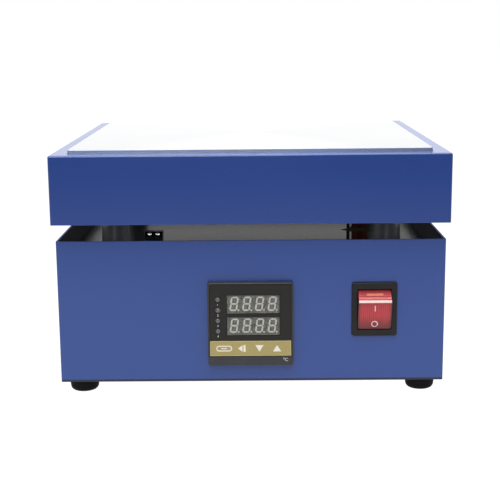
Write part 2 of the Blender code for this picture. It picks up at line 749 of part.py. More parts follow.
def make_feet():
    bore = FOOT_SCREW_D / 2 + HOLE_CLEAR
    top, bottom_r, edge = BOSS_BOTTOM - SEAT, FOOT_BOTTOM_D / 2, FOOT_EDGE_R
    arc = [
        (bottom_r - edge + edge * math.cos(angle), edge - edge * math.sin(angle))
        for angle in (0.0, math.pi / 6, math.pi / 3, math.pi / 2)
    ]
    profile = [(bore, top), (FOOT_TOP_D / 2, top), *arc]
    profile += [(FOOT_RECESS_D / 2, 0.0), (FOOT_RECESS_D / 2, FOOT_RECESS_H), (bore, FOOT_RECESS_H)]
    reach = CASE_BOTTOM - FOOT_RECESS_H + SEAT + SHEET + FOOT_SCREW_REACH
    for name, (sx, sy) in CORNERS.items():
        turned(f"foot_{name}", profile, (sx * FOOT_X, sy * FOOT_Y, 0), "black_rubber", ring=True)
        at = (sx * FOOT_X, sy * FOOT_Y, FOOT_RECESS_H - SEAT)
        pan_screw(
            f"foot_screw_{name}", at, FACING_DOWN, FOOT_SCREW_D, reach, FOOT_HEAD_D, FOOT_HEAD_H, "zinc_steel"
        )


def make_upper_housing():
    opening = (PLATE_W + 2 * PLATE_CLEAR, PLATE_D + 2 * PLATE_CLEAR)
    housing = folded_case("upper_housing", (UPPER_W, UPPER_D, UPPER_H), UPPER_BOTTOM, opening, "blue_paint")
    for name, (sx, sy) in CORNERS.items():
        at = (sx * STANDOFF_X, sy * STANDOFF_Y, UPPER_BOTTOM)
        cut(housing, rod(f"floor_hole_{name}", CLAMP_SCREW_D + 2 * HOLE_CLEAR, 4 * SHEET, at, "Z"))
    cut(housing, lead_slot_cutter("floor_lead_slot", UPPER_BOTTOM, *GROMMET_HOLE))


def make_heating_plate():
    middle = (PLATE_TOP + PLATE_BOTTOM) / 2
    plate = box("heating_plate", (PLATE_W, PLATE_D, PLATE_T), (0, 0, middle), "plate_aluminium")
    round_edges(plate, PLATE_EDGE, lambda at, along: at.z > 0 or abs(along.z) > 0.9, facets=1)
    for name, (sx, sy) in CORNERS.items():
        depth = 2 * (CLAMP_REACH + HOLE_CLEAR)
        at = (sx * STANDOFF_X, sy * STANDOFF_Y, PLATE_BOTTOM)
        cut(plate, rod(f"plate_hole_{name}", CLAMP_SCREW_D + 2 * HOLE_CLEAR, depth, at, "Z"))
    depth = 2 * (PROBE_DEPTH + HOLE_CLEAR)
    at = (PROBE_X, PROBE_Y, PLATE_BOTTOM)
    cut(plate, rod("probe_hole", PROBE_D + 2 * HOLE_CLEAR, depth, at, "Z"))


def make_insulation():
    """Ceramic fibre board: its rim carries the plate's edge, and the element lies in its pocket."""
    x, y = BOARD_W / 2, BOARD_D / 2
    board = box_between("insulation_board", (-x, -y, BOARD_BOTTOM), (x, y, BOARD_TOP), "ceramic_fibre")
    x, y = x - BOARD_RIM, y - BOARD_RIM
    above = BOARD_TOP + ELEMENT_D
    cut(board, box_between("board_pocket", (-x, -y, POCKET_FLOOR), (x, y, above)))
    for name, (sx, sy) in CORNERS.items():
        at = (sx * STANDOFF_X, sy * STANDOFF_Y, (BOARD_BOTTOM + BOARD_TOP) / 2)
        length = 2 * (BOARD_TOP - BOARD_BOTTOM)
        cut(board, rod(f"board_hole_{name}", CLAMP_SCREW_D + 2 * HOLE_CLEAR, length, at, "Z"))
    slot = stadium(*(size + 2 * (GROMMET_FLANGE + SEAT) for size in GROMMET_HOLE))
    through = 3 * (BOARD_TOP - BOARD_BOTTOM)
    cut(board, prism("board_slot", slot, through, "XY", (LEAD_SLOT_X, LEAD_Y, BOARD_BOTTOM)))


def element_route():
    """The element runs to and fro along X; both its ends come out at the right."""
    bend = ELEMENT_PITCH / 2
    first = -ELEMENT_PITCH * (ELEMENT_RUNS - 1) / 2
    points = [(ELEMENT_TAIL_X, first)]
    for run in range(ELEMENT_RUNS - 1):
        side = -1 if run % 2 == 0 else 1
        centre = first + run * ELEMENT_PITCH + bend
        for step in range(ELEMENT_BEND_STEPS + 1):
            angle = math.pi * (step / ELEMENT_BEND_STEPS - 0.5)
            points.append((side * (ELEMENT_REACH + bend * math.cos(angle)), centre + bend * math.sin(angle)))
    side = 1 if ELEMENT_RUNS % 2 == 0 else -1
    points.append((side * ELEMENT_TAIL_X, -first))
    return [(x, y, ELEMENT_Z) for x, y in points]


def make_heater():
    """The element, and the leads that run from its two ends."""
    route = element_route()
    cord("heating_element", route, ELEMENT_D, "element_steel")
    make_live_lead(Vector(route[0]))
    make_neutral_lead(Vector(route[-1]))


def lead_drop(x, below):
    """The straight drop of a lead through both slots."""
    gap_middle = (UPPER_BOTTOM + DECK_TOP) / 2
    heights = (BOARD_BOTTOM + LEAD_DROP_TOP, gap_middle, DECK_TOP - below / 2, DECK_TOP - below)
    return [Vector((x, LEAD_Y, z)) for z in heights]


def steps_from(start, steps):
    return [Vector(start) + Vector(step) for step in steps]


def make_live_lead(element_end):
    """From the element round to the slot, then down to the relay."""
    pass_y = LEAD_Y - LEAD_PASS
    route = steps_from(element_end, [(LEAD_END_CLEAR, 0, 0), (LEAD_STRAIGHT, 0, 0)])
    route.append(Vector((LIVE_X + LIVE_TURN_X, (element_end.y + pass_y) / 2, ELEMENT_Z)))
    route.append(Vector((LIVE_X + LIVE_RETURN_X, pass_y, ELEMENT_Z)))
    route += steps_from((LIVE_X, LEAD_Y, ELEMENT_Z), LEAD_TURN_IN)
    route += lead_drop(LIVE_X, LEAD_DROP_BOTTOM)
    relay_top = CASE_BOTTOM + SHEET + SEAT + RELAY_H
    pocket = (RELAY_X - RELAY_POCKET_X, RELAY_Y - RELAY_POCKET_Y, relay_top)
    route += steps_from(pocket, [*LIVE_RISE, (0, 0, SEAT - RELAY_POCKET_DEPTH)])
    cord("heater_lead_live", smooth_route(route, LEAD_STEP), LEAD_D, "red_sleeve")


def make_neutral_lead(element_end):
    """From the element along the board's side to the slot, then down to a blade of the switch."""
    lane_x = BOARD_W / 2 - BOARD_RIM - LEAD_D / 2 - SIDE_LANE_CLEAR
    route = steps_from(element_end, [(LEAD_END_CLEAR, 0, 0), (LEAD_STRAIGHT, 0, 0)])
    route += steps_from((lane_x, element_end.y, ELEMENT_Z), NEUTRAL_TURN_OUT)
    route.append(Vector((lane_x, LEAD_Y + NEUTRAL_LANE_END, ELEMENT_Z)))
    route += steps_from((NEUTRAL_X, LEAD_Y, ELEMENT_Z), NEUTRAL_TURN_IN)
    route += lead_drop(NEUTRAL_X, LEAD_DROP_BOTTOM)
    blade_tip = (SWITCH_X + BLADE_X, FRONT + SWITCH_DEPTH + BLADE_L, CASE_BOTTOM + SWITCH_Z + BLADE_Z)
    route += steps_from(blade_tip, [*NEUTRAL_RISE, (0, LEAD_END_CLEAR, 0)])
    cord("heater_lead_neutral", smooth_route(route, LEAD_STEP), LEAD_D, "red_sleeve")


def make_thermocouple():
    """The probe stands in the plate, and its thin lead goes down to the controller's terminals."""
    sheath = [(PROBE_X, PROBE_Y, PLATE_BOTTOM + PROBE_DEPTH), (PROBE_X, PROBE_Y, PLATE_BOTTOM - SEAT)]
    route = steps_from((PROBE_X, PROBE_Y, PLATE_BOTTOM), PROBE_BEND)
    route += steps_from((PROBE_LEAD_X, LEAD_Y, ELEMENT_Z), [PROBE_LANE])
    route += lead_drop(PROBE_LEAD_X, LEAD_DROP_BOTTOM)
    rear_face = FRONT + CONTROLLER_DEPTH + SEAT + REAR_BLOCK_T
    plug = (CONTROLLER_X + REAR_COLUMN_X, rear_face, CASE_BOTTOM + CONTROLLER_Z + REAR_ROW_PITCH)
    screw_top = REAR_SCREW_H - REAR_POCKET_DEPTH
    route += steps_from(plug, [*PROBE_RISE, (0, screw_top + LEAD_END_CLEAR, 0)])
    lead = smooth_route(route, LEAD_STEP)
    radii = [1.0] * len(sheath) + [PROBE_LEAD_D / PROBE_D] * len(lead)
    cord("thermocouple", [*sheath, *lead], PROBE_D, "brown_braid", radii)


def make_grommet(name, sheet_bottom, sheet_t, look="black_rubber"):
    """A rubber bush whose groove takes the sheet's edge."""
    outer = (LEAD_SLOT_L + 2 * GROMMET_WALL, LEAD_SLOT_W + 2 * GROMMET_WALL)
    wide = [size + 2 * (HOLE_CLEAR + GROMMET_FLANGE) for size in outer]
    middle = (LEAD_SLOT_X, LEAD_Y, sheet_bottom + sheet_t / 2)
    height = sheet_t + 2 * (SEAT + GROMMET_FLANGE_T)
    bush = prism(name, stadium(*outer), height - GROMMET_FLANGE_T, "XY", middle, look)
    offset = (sheet_t + GROMMET_FLANGE_T) / 2 + SEAT
    for side in (-1, 1):
        at = (LEAD_SLOT_X, LEAD_Y, middle[2] + side * offset)
        join(bush, prism(f"{name}_flange_{side}", stadium(*wide), GROMMET_FLANGE_T, "XY", at))
    cut(bush, prism(f"{name}_bore", stadium(LEAD_SLOT_L, LEAD_SLOT_W), 2 * height, "XY", middle))


def make_lead_tie():
    """A tie strap round the two heater leads, with its cut tail to the left."""
    centre = (LIVE_X + NEUTRAL_X) / 2
    inner = (NEUTRAL_X - LIVE_X + LEAD_D + 2 * SEAT, LEAD_D + 2 * SEAT)
    outer = [size + 2 * TIE_WALL for size in inner]
    at = (centre, LEAD_Y, TIE_Z)
    tie = prism("lead_tie", stadium(*outer), TIE_H, "XY", at, "brown_braid")
    front = LEAD_Y - outer[1] / 2 + TIE_WALL / 2
    tip, root = centre - outer[0] / 2 - TIE_TAIL, TIE_TAIL_ROOT / 2
    tail = ((tip, TIE_Z), (LIVE_X, TIE_Z - root), (LIVE_X, TIE_Z + root))
    join(tie, prism("tie_tail", tail, TIE_WALL, "XZ", (0.0, front, 0.0)))
    cut(tie, prism("tie_bore", stadium(*inner), 2 * TIE_H, "XY", at))


def make_deck_terminal():
    """A two-way terminal block with a sloped front, and its clamp screws square to the slope."""
    bottom = DECK_TOP + SEAT
    front, back = TERMINAL_Y - TERMINAL_D / 2, TERMINAL_Y + TERMINAL_D / 2
    top, slope = bottom + TERMINAL_H, TERMINAL_SLOPE
    outline = ((front, bottom), (back, bottom), (back, top), (front + slope, top), (front, top - slope))
    block = prism("deck_terminal", outline, TERMINAL_W, "YZ", (TERMINAL_X, 0.0, 0.0), "black_plastic")
    radius, rise = TERMINAL_SCREW_D / 2, TERMINAL_SCREW_H
    screw = ((0.0, rise), (radius, rise), (radius, -rise), (0.0, -rise))
    for side in (-1, 1):
        at = (TERMINAL_X + side * TERMINAL_PITCH / 2, front + slope / 2, top - slope / 2)
        tilt = (math.pi / 4, 0.0, 0.0)
        join(block, turned(f"terminal_screw_{side}", screw, at, turn=tilt, facets=PLAIN))


def make_controller():
    """Panel controller, held by a bracket that presses on the back of the panel."""
    hub = anchor("controller", (CONTROLLER_X, FRONT, CASE_BOTTOM + CONTROLLER_Z))
    half, body, depth = CONTROLLER_SIDE / 2, CONTROLLER_BODY / 2, CONTROLLER_DEPTH
    front = -CONTROLLER_PROUD
    face_front = front + FACE_SINK
    cavity = body - CONTROLLER_WALL
    face_half_w = half - FACE_SIDE_MARGIN
    face_top = half - FACE_TOP_MARGIN
    strip_top = face_top - FASCIA_H - SEAT
    strip_bottom = strip_top - STRIP_H
    strip_back = face_front + STRIP_T
    fascia_back = face_front + FASCIA_T
    ledge = fascia_back + SEAT

    case = box_between("controller_case", (-half, front, -half), (half, -SEAT, half), "black_plastic", hub)
    round_edges(case, CONTROLLER_CORNER, lambda at, along: at.y < 0 or abs(along.y) > 0.9, facets=2)
    overlap = CONTROLLER_PROUD / 2
    join(case, box_between("controller_body", (-body, -overlap, -body), (body, depth, body), parent=hub))
    margin = FACE_SINK + SEAT
    low = (-face_half_w - SEAT, front - margin, strip_bottom - SEAT)
    high = (face_half_w + SEAT, ledge, face_top + SEAT)
    cut(case, box_between("face_recess", low, high, parent=hub))
    low = (-cavity, ledge - margin, -cavity)
    cut(case, box_between("case_cavity", low, (cavity, 2 * depth, cavity), parent=hub))

    fascia = box_between(
        "controller_fascia",
        (-face_half_w, face_front, face_top - FASCIA_H),
        (face_half_w, fascia_back, face_top),
        "fascia_film",
        hub,
    )
    board_front = face_front + FACE_SINK + DISPLAY_DEPTH + SEAT
    for index, name in enumerate(("display_upper", "display_lower")):
        centre = half - DISPLAY_TOP - DISPLAY_H / 2 - index * DISPLAY_PITCH
        window = (DISPLAY_W + 2 * SEAT, 4 * FASCIA_T, DISPLAY_H + 2 * SEAT)
        cut(fascia, box(f"{name}_window", window, (DISPLAY_X, face_front, centre), parent=hub))
        middle = face_front + FACE_SINK + DISPLAY_DEPTH / 2
        box(name, (DISPLAY_W, DISPLAY_DEPTH, DISPLAY_H), (DISPLAY_X, middle, centre), "display_grey", hub)

    lamps = [half - LAMP_TOP - index * LAMP_PITCH for index in range(LAMP_COUNT)]
    guide_front = fascia_back + SEAT
    guide_half = LAMP_D / 2 + GUIDE_MARGIN
    low = (LAMP_X - guide_half, guide_front, lamps[-1] - guide_half)
    high = (LAMP_X + guide_half, guide_front + GUIDE_T, lamps[0] + guide_half)
    guide = box_between("light_guide", low, high, "lamp_clear", hub)
    for index, z in enumerate(lamps):
        at = (LAMP_X, face_front, z)
        cut(fascia, rod(f"lamp_hole_{index}", LAMP_D + 2 * SEAT, 4 * FASCIA_T, at, "Y", parent=hub))
        length = guide_front + GUIDE_T / 2 - face_front
        at = (LAMP_X, face_front + length / 2, z)
        join(guide, rod(f"lamp_{index}", LAMP_D, length, at, "Y", None, hub))

    strip = box_between(
        "key_strip",
        (-face_half_w, face_front, strip_bottom),
        (face_half_w, strip_back, strip_top),
        "key_gold",
        hub,
    )
    key_z = (strip_top + strip_bottom) / 2
    key_front = face_front - KEY_PROUD
    lip_front = strip_back + SEAT
    lip_back = lip_front + KEY_LIP_T
    push_front = lip_back + KEY_TRAVEL + SEAT
    low = (-cavity + SEAT, board_front, -cavity + SEAT)
    high = (cavity - SEAT, board_front + BOARD_T, cavity - SEAT)
    board = box_between("controller_board", low, high, "circuit_green", hub)
    for index, name in enumerate(("key_set", "key_shift", "key_down", "key_up")[:KEY_COUNT]):
        x = (index - (KEY_COUNT - 1) / 2) * KEY_PITCH
        hole = (KEY_W + 2 * KEY_CLEAR, 4 * STRIP_T, KEY_H + 2 * KEY_CLEAR)
        cut(strip, box(f"{name}_hole", hole, (x, face_front, key_z), parent=hub))
        origin = Vector((x, lip_front, key_z))
        low = Vector((x - KEY_W / 2, key_front, key_z - KEY_H / 2)) - origin
        high = Vector((x + KEY_W / 2, lip_back - KEY_LIP_T / 4, key_z + KEY_H / 2)) - origin
        key = box_between(name, low, high, "key_gold", hub)
        key.location += origin
        lip = (KEY_W + 2 * (KEY_CLEAR + KEY_LIP), KEY_LIP_T, KEY_H + 2 * (KEY_CLEAR + KEY_LIP))
        join(key, box(f"{name}_lip", lip, (x, (lip_front + lip_back) / 2, key_z), parent=hub))
        low = (x - PUSH_SWITCH / 2, push_front, key_z - PUSH_SWITCH / 2)
        high = (x + PUSH_SWITCH / 2, board_front + BOARD_T / 2, key_z + PUSH_SWITCH / 2)
        join(board, box_between(f"push_switch_{index}", low, high, parent=hub))

    make_rear_block(hub, cavity)
    make_bracket(hub)


def make_rear_block(hub, cavity):
    body, start = CONTROLLER_BODY / 2, CONTROLLER_DEPTH + SEAT
    back = start + REAR_BLOCK_T
    block = box_between(
        "controller_terminals", (-body, start, -body), (body, back, body), "black_plastic", hub
    )
    plug = cavity - SEAT
    low = (-plug, start - REAR_PLUG, -plug)
    join(block, box_between("rear_plug", low, (plug, start + REAR_BLOCK_T / 2, plug), parent=hub))
    for side in (-1, 1):
        for row in range(REAR_ROWS):
            x = side * REAR_COLUMN_X
            z = (row - (REAR_ROWS - 1) / 2) * REAR_ROW_PITCH
            pocket = (REAR_POCKET, 2 * REAR_POCKET_DEPTH, REAR_POCKET)
            cut(block, box(f"rear_pocket_{side}_{row}", pocket, (x, back, z), parent=hub))
            at = (x, back - REAR_POCKET_DEPTH, z)
            screw = rod(f"rear_screw_{side}_{row}", REAR_SCREW_D, 2 * REAR_SCREW_H, at, "Y", None, hub, 8)
            join(block, screw)


def make_bracket(hub):
    inner = CONTROLLER_BODY / 2 + SEAT
    outer = inner + BRACKET_WALL
    start = SHEET + BRACKET_OFF
    end = start + BRACKET_T
    bracket = box_between("panel_bracket", (-outer, start, -outer), (outer, end, outer), "black_plastic", hub)
    ear_x = outer + BRACKET_EAR / 2 - BRACKET_WALL / 2
    for side, word in ((-1, "left"), (1, "right")):
        at = (side * ear_x, (start + end) / 2, 0)
        join(bracket, box(f"bracket_ear_{word}", (BRACKET_EAR, BRACKET_T, BRACKET_EAR), at, parent=hub))
        bore = BRACKET_SCREW_D + 2 * HOLE_CLEAR
        cut(bracket, rod(f"bracket_bore_{word}", bore, 2 * BRACKET_T, at, "Y", parent=hub))
        pan_screw(
            f"bracket_screw_{word}",
            (side * ear_x, end + SEAT, 0),
            FACING_BACK,
            BRACKET_SCREW_D,
            end - SHEET,
            BRACKET_SCREW_HEAD_D,
            BRACKET_SCREW_HEAD_H,
            "zinc_steel",
            hub,
        )
    hole = (2 * inner, 4 * BRACKET_T, 2 * inner)
    cut(bracket, box("bracket_opening", hole, (0, (start + end) / 2, 0), parent=hub))


def rocker_outline():
    """The rocker's section, symmetric end to end, as (Y, Z) from its pivot with the face towards -Y."""
    knee_run, knee_drop = ROCKER_KNEE
    end_z = math.sqrt(ROCKER_END_R**2 - ROCKER_END_OUT**2)
    back_z = math.sqrt(ROCKER_END_R**2 - ROCKER_BACK**2)
    half = [
        (0.0, ROCKER_FACE_OUT - ROCKER_DISH),
        (ROCKER_FACE_HALF / 2, ROCKER_FACE_OUT - ROCKER_DISH * 0.75),
        (ROCKER_FACE_HALF, ROCKER_FACE_OUT),
        (ROCKER_FACE_HALF + ROCKER_CREST_RUN, ROCKER_FACE_OUT - ROCKER_CREST_DROP),
        (
            ROCKER_FACE_HALF + knee_run * (end_z - ROCKER_FACE_HALF),
            ROCKER_FACE_OUT - knee_drop * (ROCKER_FACE_OUT - ROCKER_END_OUT),
        ),
        (end_z, ROCKER_END_OUT),
        (ROCKER_END_R, 0.0),
        (back_z, -ROCKER_BACK),
    ]
    mirrored = [(-z, out) for z, out in reversed(half[1:])]
    return [(-out, z) for z, out in mirrored + half]


def make_switch():
    """Rocker switch: the rocker hangs by two side pins in the moulded body."""
    hub = anchor("power_switch", (SWITCH_X, FRONT, CASE_BOTTOM + SWITCH_Z))
    half_w, half_h = SWITCH_W / 2, SWITCH_H / 2
    front = -SWITCH_PROUD
    low, high = (-half_w, front, -half_h), (half_w, -SEAT, half_h)
    body = box_between("switch_body", low, high, "black_plastic", hub)
    round_edges(body, SWITCH_CORNER, lambda at, along: at.y < 0 or abs(along.y) > 0.9, facets=2)
    low = (-SWITCH_BODY_W / 2, -SWITCH_PROUD / 2, -SWITCH_BODY_H / 2)
    join(body, box_between("switch_barrel", low, (-low[0], SWITCH_DEPTH, -low[2]), parent=hub))
    opening = (ROCKER_W + 2 * ROCKER_CLEAR, 8 * SWITCH_LIP, SWITCH_OPENING_H)
    cut(body, box("switch_mouth", opening, (0, front, 0), parent=hub))
    cavity_half = ROCKER_END_R + ROCKER_CLEAR
    low = (-opening[0] / 2, front + SWITCH_LIP, -cavity_half)
    high = (opening[0] / 2, front + SWITCH_LIP + SWITCH_CAVITY_DEPTH, cavity_half)
    cut(body, box_between("switch_cavity", low, high, parent=hub))
    pivot_y = front + ROCKER_PIVOT_IN
    span = ROCKER_W + 2 * (PIVOT_PIN_L + ROCKER_CLEAR)
    cut(body, rod("pivot_seats", PIVOT_PIN_D + 2 * HOLE_CLEAR, span, (0, pivot_y, 0), "X", None, hub))
    for sx in (-1, 1):
        for sz in (-1, 1):
            start = SWITCH_DEPTH - BLADE_L / 4
            low = (sx * BLADE_X - BLADE_T / 2, start, sz * BLADE_Z - BLADE_W / 2)
            high = (sx * BLADE_X + BLADE_T / 2, SWITCH_DEPTH + BLADE_L, sz * BLADE_Z + BLADE_W / 2)
            join(body, box_between(f"switch_blade_{sx}_{sz}", low, high, parent=hub))

    turn = (ROCKER_TILT, 0.0, 0.0)
    at = (0, pivot_y, 0)
    rocker = prism("switch_rocker", rocker_outline(), ROCKER_W, "YZ", at, "rocker_red", hub, turn)
    join(rocker, rod("pivot_pin", PIVOT_PIN_D, ROCKER_W + 2 * PIVOT_PIN_L, at, "X", None, hub))


def make_inlet():
    """Mains inlet with a fuse drawer under its socket; it faces the back."""
    hub = anchor("mains_connection", (INLET_X, BACK, CASE_BOTTOM + INLET_Z))
    half_w, half_h = INLET_W / 2, INLET_H / 2
    face = SEAT + INLET_FLANGE_T
    low, high = (-half_w, SEAT, -half_h), (half_w, face, half_h)
    inlet = box_between("mains_inlet", low, high, "black_plastic", hub)
    round_edges(inlet, INLET_CORNER, lambda at, along: abs(along.y) > 0.9, facets=3)
    low = (-INLET_BODY_W / 2, -INLET_DEPTH, -INLET_BODY_H / 2)
    high = (INLET_BODY_W / 2, SEAT + INLET_FLANGE_T / 2, INLET_BODY_H / 2)
    join(inlet, box_between("inlet_body", low, high, parent=hub))

    wide, high, low, chamfer = SOCKET_W / 2, SOCKET_H / 2, -SOCKET_H / 2, SOCKET_CHAMFER
    outline = [(-wide, low), (wide, low), (wide, high - chamfer), (wide - chamfer, high)]
    outline += [(chamfer - wide, high), (-wide, high - chamfer)]
    cut(inlet, prism("socket", outline, 2 * SOCKET_DEPTH, "XZ", (0, face, SOCKET_Z), parent=hub))
    socket_floor = face - SOCKET_DEPTH
    pin_front, pin_back = face - PIN_SINK, -INLET_DEPTH - PIN_TAB
    pin_middle, pin_length = (pin_front + pin_back) / 2, pin_front - pin_back
    for name, x, z in (
        ("inlet_pin_live", -PIN_SPACING, -PIN_STAGGER),
        ("inlet_pin_earth", 0.0, PIN_STAGGER),
        ("inlet_pin_neutral", PIN_SPACING, -PIN_STAGGER),
    ):
        hole = (PIN_W + 2 * SEAT, INLET_DEPTH, PIN_H + 2 * SEAT)
        at = (x, socket_floor + SEAT - INLET_DEPTH / 2, SOCKET_Z + z)
        cut(inlet, box(f"{name}_hole", hole, at, parent=hub))
        box(name, (PIN_W, pin_length, PIN_H), (x, pin_middle, SOCKET_Z + z), "brass", hub)

    for side, word in ((-1, "left"), (1, "right")):
        at = (side * INLET_SCREW_X, 0, 0)
        cut(inlet, rod(f"flange_hole_{word}", INLET_SCREW_D + 2 * HOLE_CLEAR, 4 * face, at, "Y", None, hub))
        at = (side * INLET_SCREW_X, face + SEAT, 0)
        reach = face + SHEET + INLET_SCREW_REACH
        pan_screw(
            f"inlet_screw_{word}",
            at,
            FACING_BACK,
            INLET_SCREW_D,
            reach,
            INLET_HEAD_D,
            INLET_HEAD_H,
            "zinc_steel",
            hub,
        )
    make_fuse_drawer(hub, inlet, face)


def make_fuse_drawer(hub, inlet, face):
    """A tray that slides out of the inlet with the fuse lying across it."""
    half_w, half_h = DRAWER_W / 2, DRAWER_H / 2
    bay = (DRAWER_W + 2 * SEAT, 2 * (DRAWER_DEPTH + SEAT), DRAWER_H + 2 * SEAT)
    cut(inlet, box("drawer_bay", bay, (0, face, DRAWER_Z), parent=hub))
    low, high = (-half_w, -DRAWER_DEPTH, -half_h), (half_w, 0.0, half_h)
    drawer = box_between("fuse_drawer", low, high, "black_plastic", hub)
    drawer.location += Vector((0, face, DRAWER_Z))
    grip_low = (-half_w, face - DRAWER_FACE, DRAWER_Z - half_h)
    grip_high = (half_w, face + DRAWER_FACE, DRAWER_Z + half_h)
    join(drawer, box_between("drawer_face", grip_low, grip_high, parent=hub))
    grip_at = (0, face + DRAWER_FACE, DRAWER_Z - half_h + DRAWER_LIP / 2)
    join(drawer, box("drawer_grip", (DRAWER_W / 2, 2 * DRAWER_LIP, DRAWER_LIP), grip_at, parent=hub))
    pocket_depth = FUSE_D + 2 * SEAT
    pocket_back = face - DRAWER_DEPTH + DRAWER_WALL
    fuse_z = DRAWER_Z - half_h + DRAWER_WALL + SEAT + FUSE_D / 2
    low = (-FUSE_L / 2 - SEAT, pocket_back, fuse_z - FUSE_D / 2 - SEAT)
    high = (FUSE_L / 2 + SEAT, pocket_back + pocket_depth, DRAWER_Z + 2 * half_h)
    cut(drawer, box_between("fuse_pocket", low, high, parent=hub))
    ring, cap, waist = FUSE_L / 2, FUSE_D / 2, FUSE_D / 2 - FUSE_CAP_STEP
    inner = ring - FUSE_CAP_L
    profile = [(0, ring), (cap, ring), (cap, inner), (waist, inner), (waist, -inner), (cap, -inner)]
    profile += [(cap, -ring), (0, -ring)]
    at = (0, pocket_back + pocket_depth / 2, fuse_z)
    fuse = turned("fuse", profile, at, "fuse_glass", hub, FACING_RIGHT, PLAIN)
    fuse.parent = drawer
    fuse.location = Vector(at) - drawer.location


def make_relay():
    """Solid state relay: metal base, stepped moulding, and four terminal pockets."""
    bottom = CASE_BOTTOM + SHEET + SEAT
    half_w, half_l = RELAY_W / 2, RELAY_L / 2
    hub = anchor("relay", (RELAY_X, RELAY_Y, bottom))
    relay = box_between(
        "solid_state_relay", (-half_w, -half_l, 0), (half_w, half_l, RELAY_BASE), "relay_white", hub
    )
    low = (-half_w + RELAY_EDGE, -half_l + RELAY_EDGE, RELAY_BASE / 2)
    high = (half_w - RELAY_EDGE, half_l - RELAY_EDGE, RELAY_H - RELAY_STEP)
    join(relay, box_between("relay_shoulder", low, high, parent=hub))
    low = (-half_w + RELAY_EDGE + RELAY_STEP / 2, -half_l + RELAY_EDGE, RELAY_BASE)
    high = (half_w - RELAY_EDGE - RELAY_STEP / 2, half_l - RELAY_EDGE, RELAY_H)
    join(relay, box_between("relay_top", low, high, parent=hub))
    for sx in (-1, 1):
        for sy in (-1, 1):
            pocket = (RELAY_POCKET, RELAY_POCKET, 2 * RELAY_POCKET_DEPTH)
            at = (sx * RELAY_POCKET_X, sy * RELAY_POCKET_Y, RELAY_H)
            cut(relay, box(f"relay_pocket_{sx}_{sy}", pocket, at, parent=hub))


def make_earth_screw():
    """The earth screw comes up through the floor, and its nut is shown tightened on it."""
    seat = CASE_BOTTOM + SHEET + SEAT
    nut, shank = EARTH_NUT_D / 2, EARTH_D / 2
    top = seat + EARTH_NUT_H + EARTH_REACH
    bottom = CASE_BOTTOM - SEAT
    head_bottom = bottom - EARTH_HEAD_PART * EARTH_D
    profile = [(0, top), (shank, top), (shank, seat + EARTH_NUT_H), (nut, seat + EARTH_NUT_H), (nut, seat)]
    profile += [(shank, seat), (shank, bottom), (nut, bottom)]
    profile += [(EARTH_HEAD_TAPER * nut, head_bottom), (0, head_bottom)]
    turned("earth_screw", profile, (INLET_X, EARTH_Y, 0), "brass", facets=6)


make_lower_case()
make_deck()
make_stack()
make_feet()
make_upper_housing()
make_heating_plate()
make_insulation()
make_heater()
make_thermocouple()
make_grommet("upper_grommet", UPPER_BOTTOM, SHEET)
make_grommet("deck_grommet", DECK_TOP - DECK_T, DECK_T)
make_lead_tie()
make_deck_terminal()
make_controller()
make_switch()
make_inlet()
make_relay()
make_earth_screw()
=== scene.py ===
"""Surfaces and fine forms of an electronic bench hot plate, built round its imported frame.

The folded housings, the face-turned plate, the panel controller, the lit rocker switch, the mains inlet
and the feet are made here at full detail. Each piece rides on a body of the frame, and every piece has its
place in its mesh, in metres, with Z up and the front panel facing -Y.
"""

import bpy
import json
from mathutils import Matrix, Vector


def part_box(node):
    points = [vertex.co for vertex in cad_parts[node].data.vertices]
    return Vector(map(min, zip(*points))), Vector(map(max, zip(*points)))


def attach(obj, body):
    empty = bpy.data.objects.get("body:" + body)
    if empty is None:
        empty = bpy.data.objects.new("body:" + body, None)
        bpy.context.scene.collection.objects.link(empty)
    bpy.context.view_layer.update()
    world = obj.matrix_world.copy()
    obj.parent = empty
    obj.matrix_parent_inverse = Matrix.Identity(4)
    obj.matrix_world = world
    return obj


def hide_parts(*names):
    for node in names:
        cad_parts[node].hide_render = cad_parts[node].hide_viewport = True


bl_info = {
    "name": "Bench Hot Plate Finishes",
    "version": (1, 0, 0),
    "blender": (4, 5, 0),
    "location": "View3D > Sidebar > Hot Plate",
    "description": "Builds the painted, turned and moulded surfaces of a bench hot plate round its frame",
    "category": "Add Mesh",
}

import json
import math
from contextlib import contextmanager

import bmesh
import bpy
from mathutils import Matrix, Vector

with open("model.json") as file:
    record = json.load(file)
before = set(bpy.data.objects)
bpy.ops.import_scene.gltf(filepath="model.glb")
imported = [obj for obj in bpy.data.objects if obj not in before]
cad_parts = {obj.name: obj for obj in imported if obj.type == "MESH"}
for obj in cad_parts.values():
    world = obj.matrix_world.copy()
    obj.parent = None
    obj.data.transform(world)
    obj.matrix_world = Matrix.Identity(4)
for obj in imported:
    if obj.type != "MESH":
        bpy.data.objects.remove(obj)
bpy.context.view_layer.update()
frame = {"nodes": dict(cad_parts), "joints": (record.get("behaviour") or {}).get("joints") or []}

UPPER_LOW, UPPER_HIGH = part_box("upper_housing")
LOWER_LOW, LOWER_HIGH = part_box("lower_case")
PLATE_LOW, PLATE_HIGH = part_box("heating_plate")
FOOT_LOW, FOOT_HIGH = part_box("foot_front_left")
ROCKER_PIVOT = Vector(frame["joints"][0]["pos_m"])
PANEL_Y = LOWER_LOW.y
BACK_Y = LOWER_HIGH.y
CORNERS = {"front_left": (-1, -1), "front_right": (1, -1), "back_left": (-1, 1), "back_right": (1, 1)}
BLACK = (0.0, 0.0, 0.0, 1.0)


# ---------------------------------------------------------------- colours and nodes


def linear(code):
    """An sRGB hex colour as linear RGBA."""
    shares = [int(code[at : at + 2], 16) / 255 for at in (1, 3, 5)]
    return (*(s / 12.92 if s <= 0.04045 else ((s + 0.055) / 1.055) ** 2.4 for s in shares), 1.0)


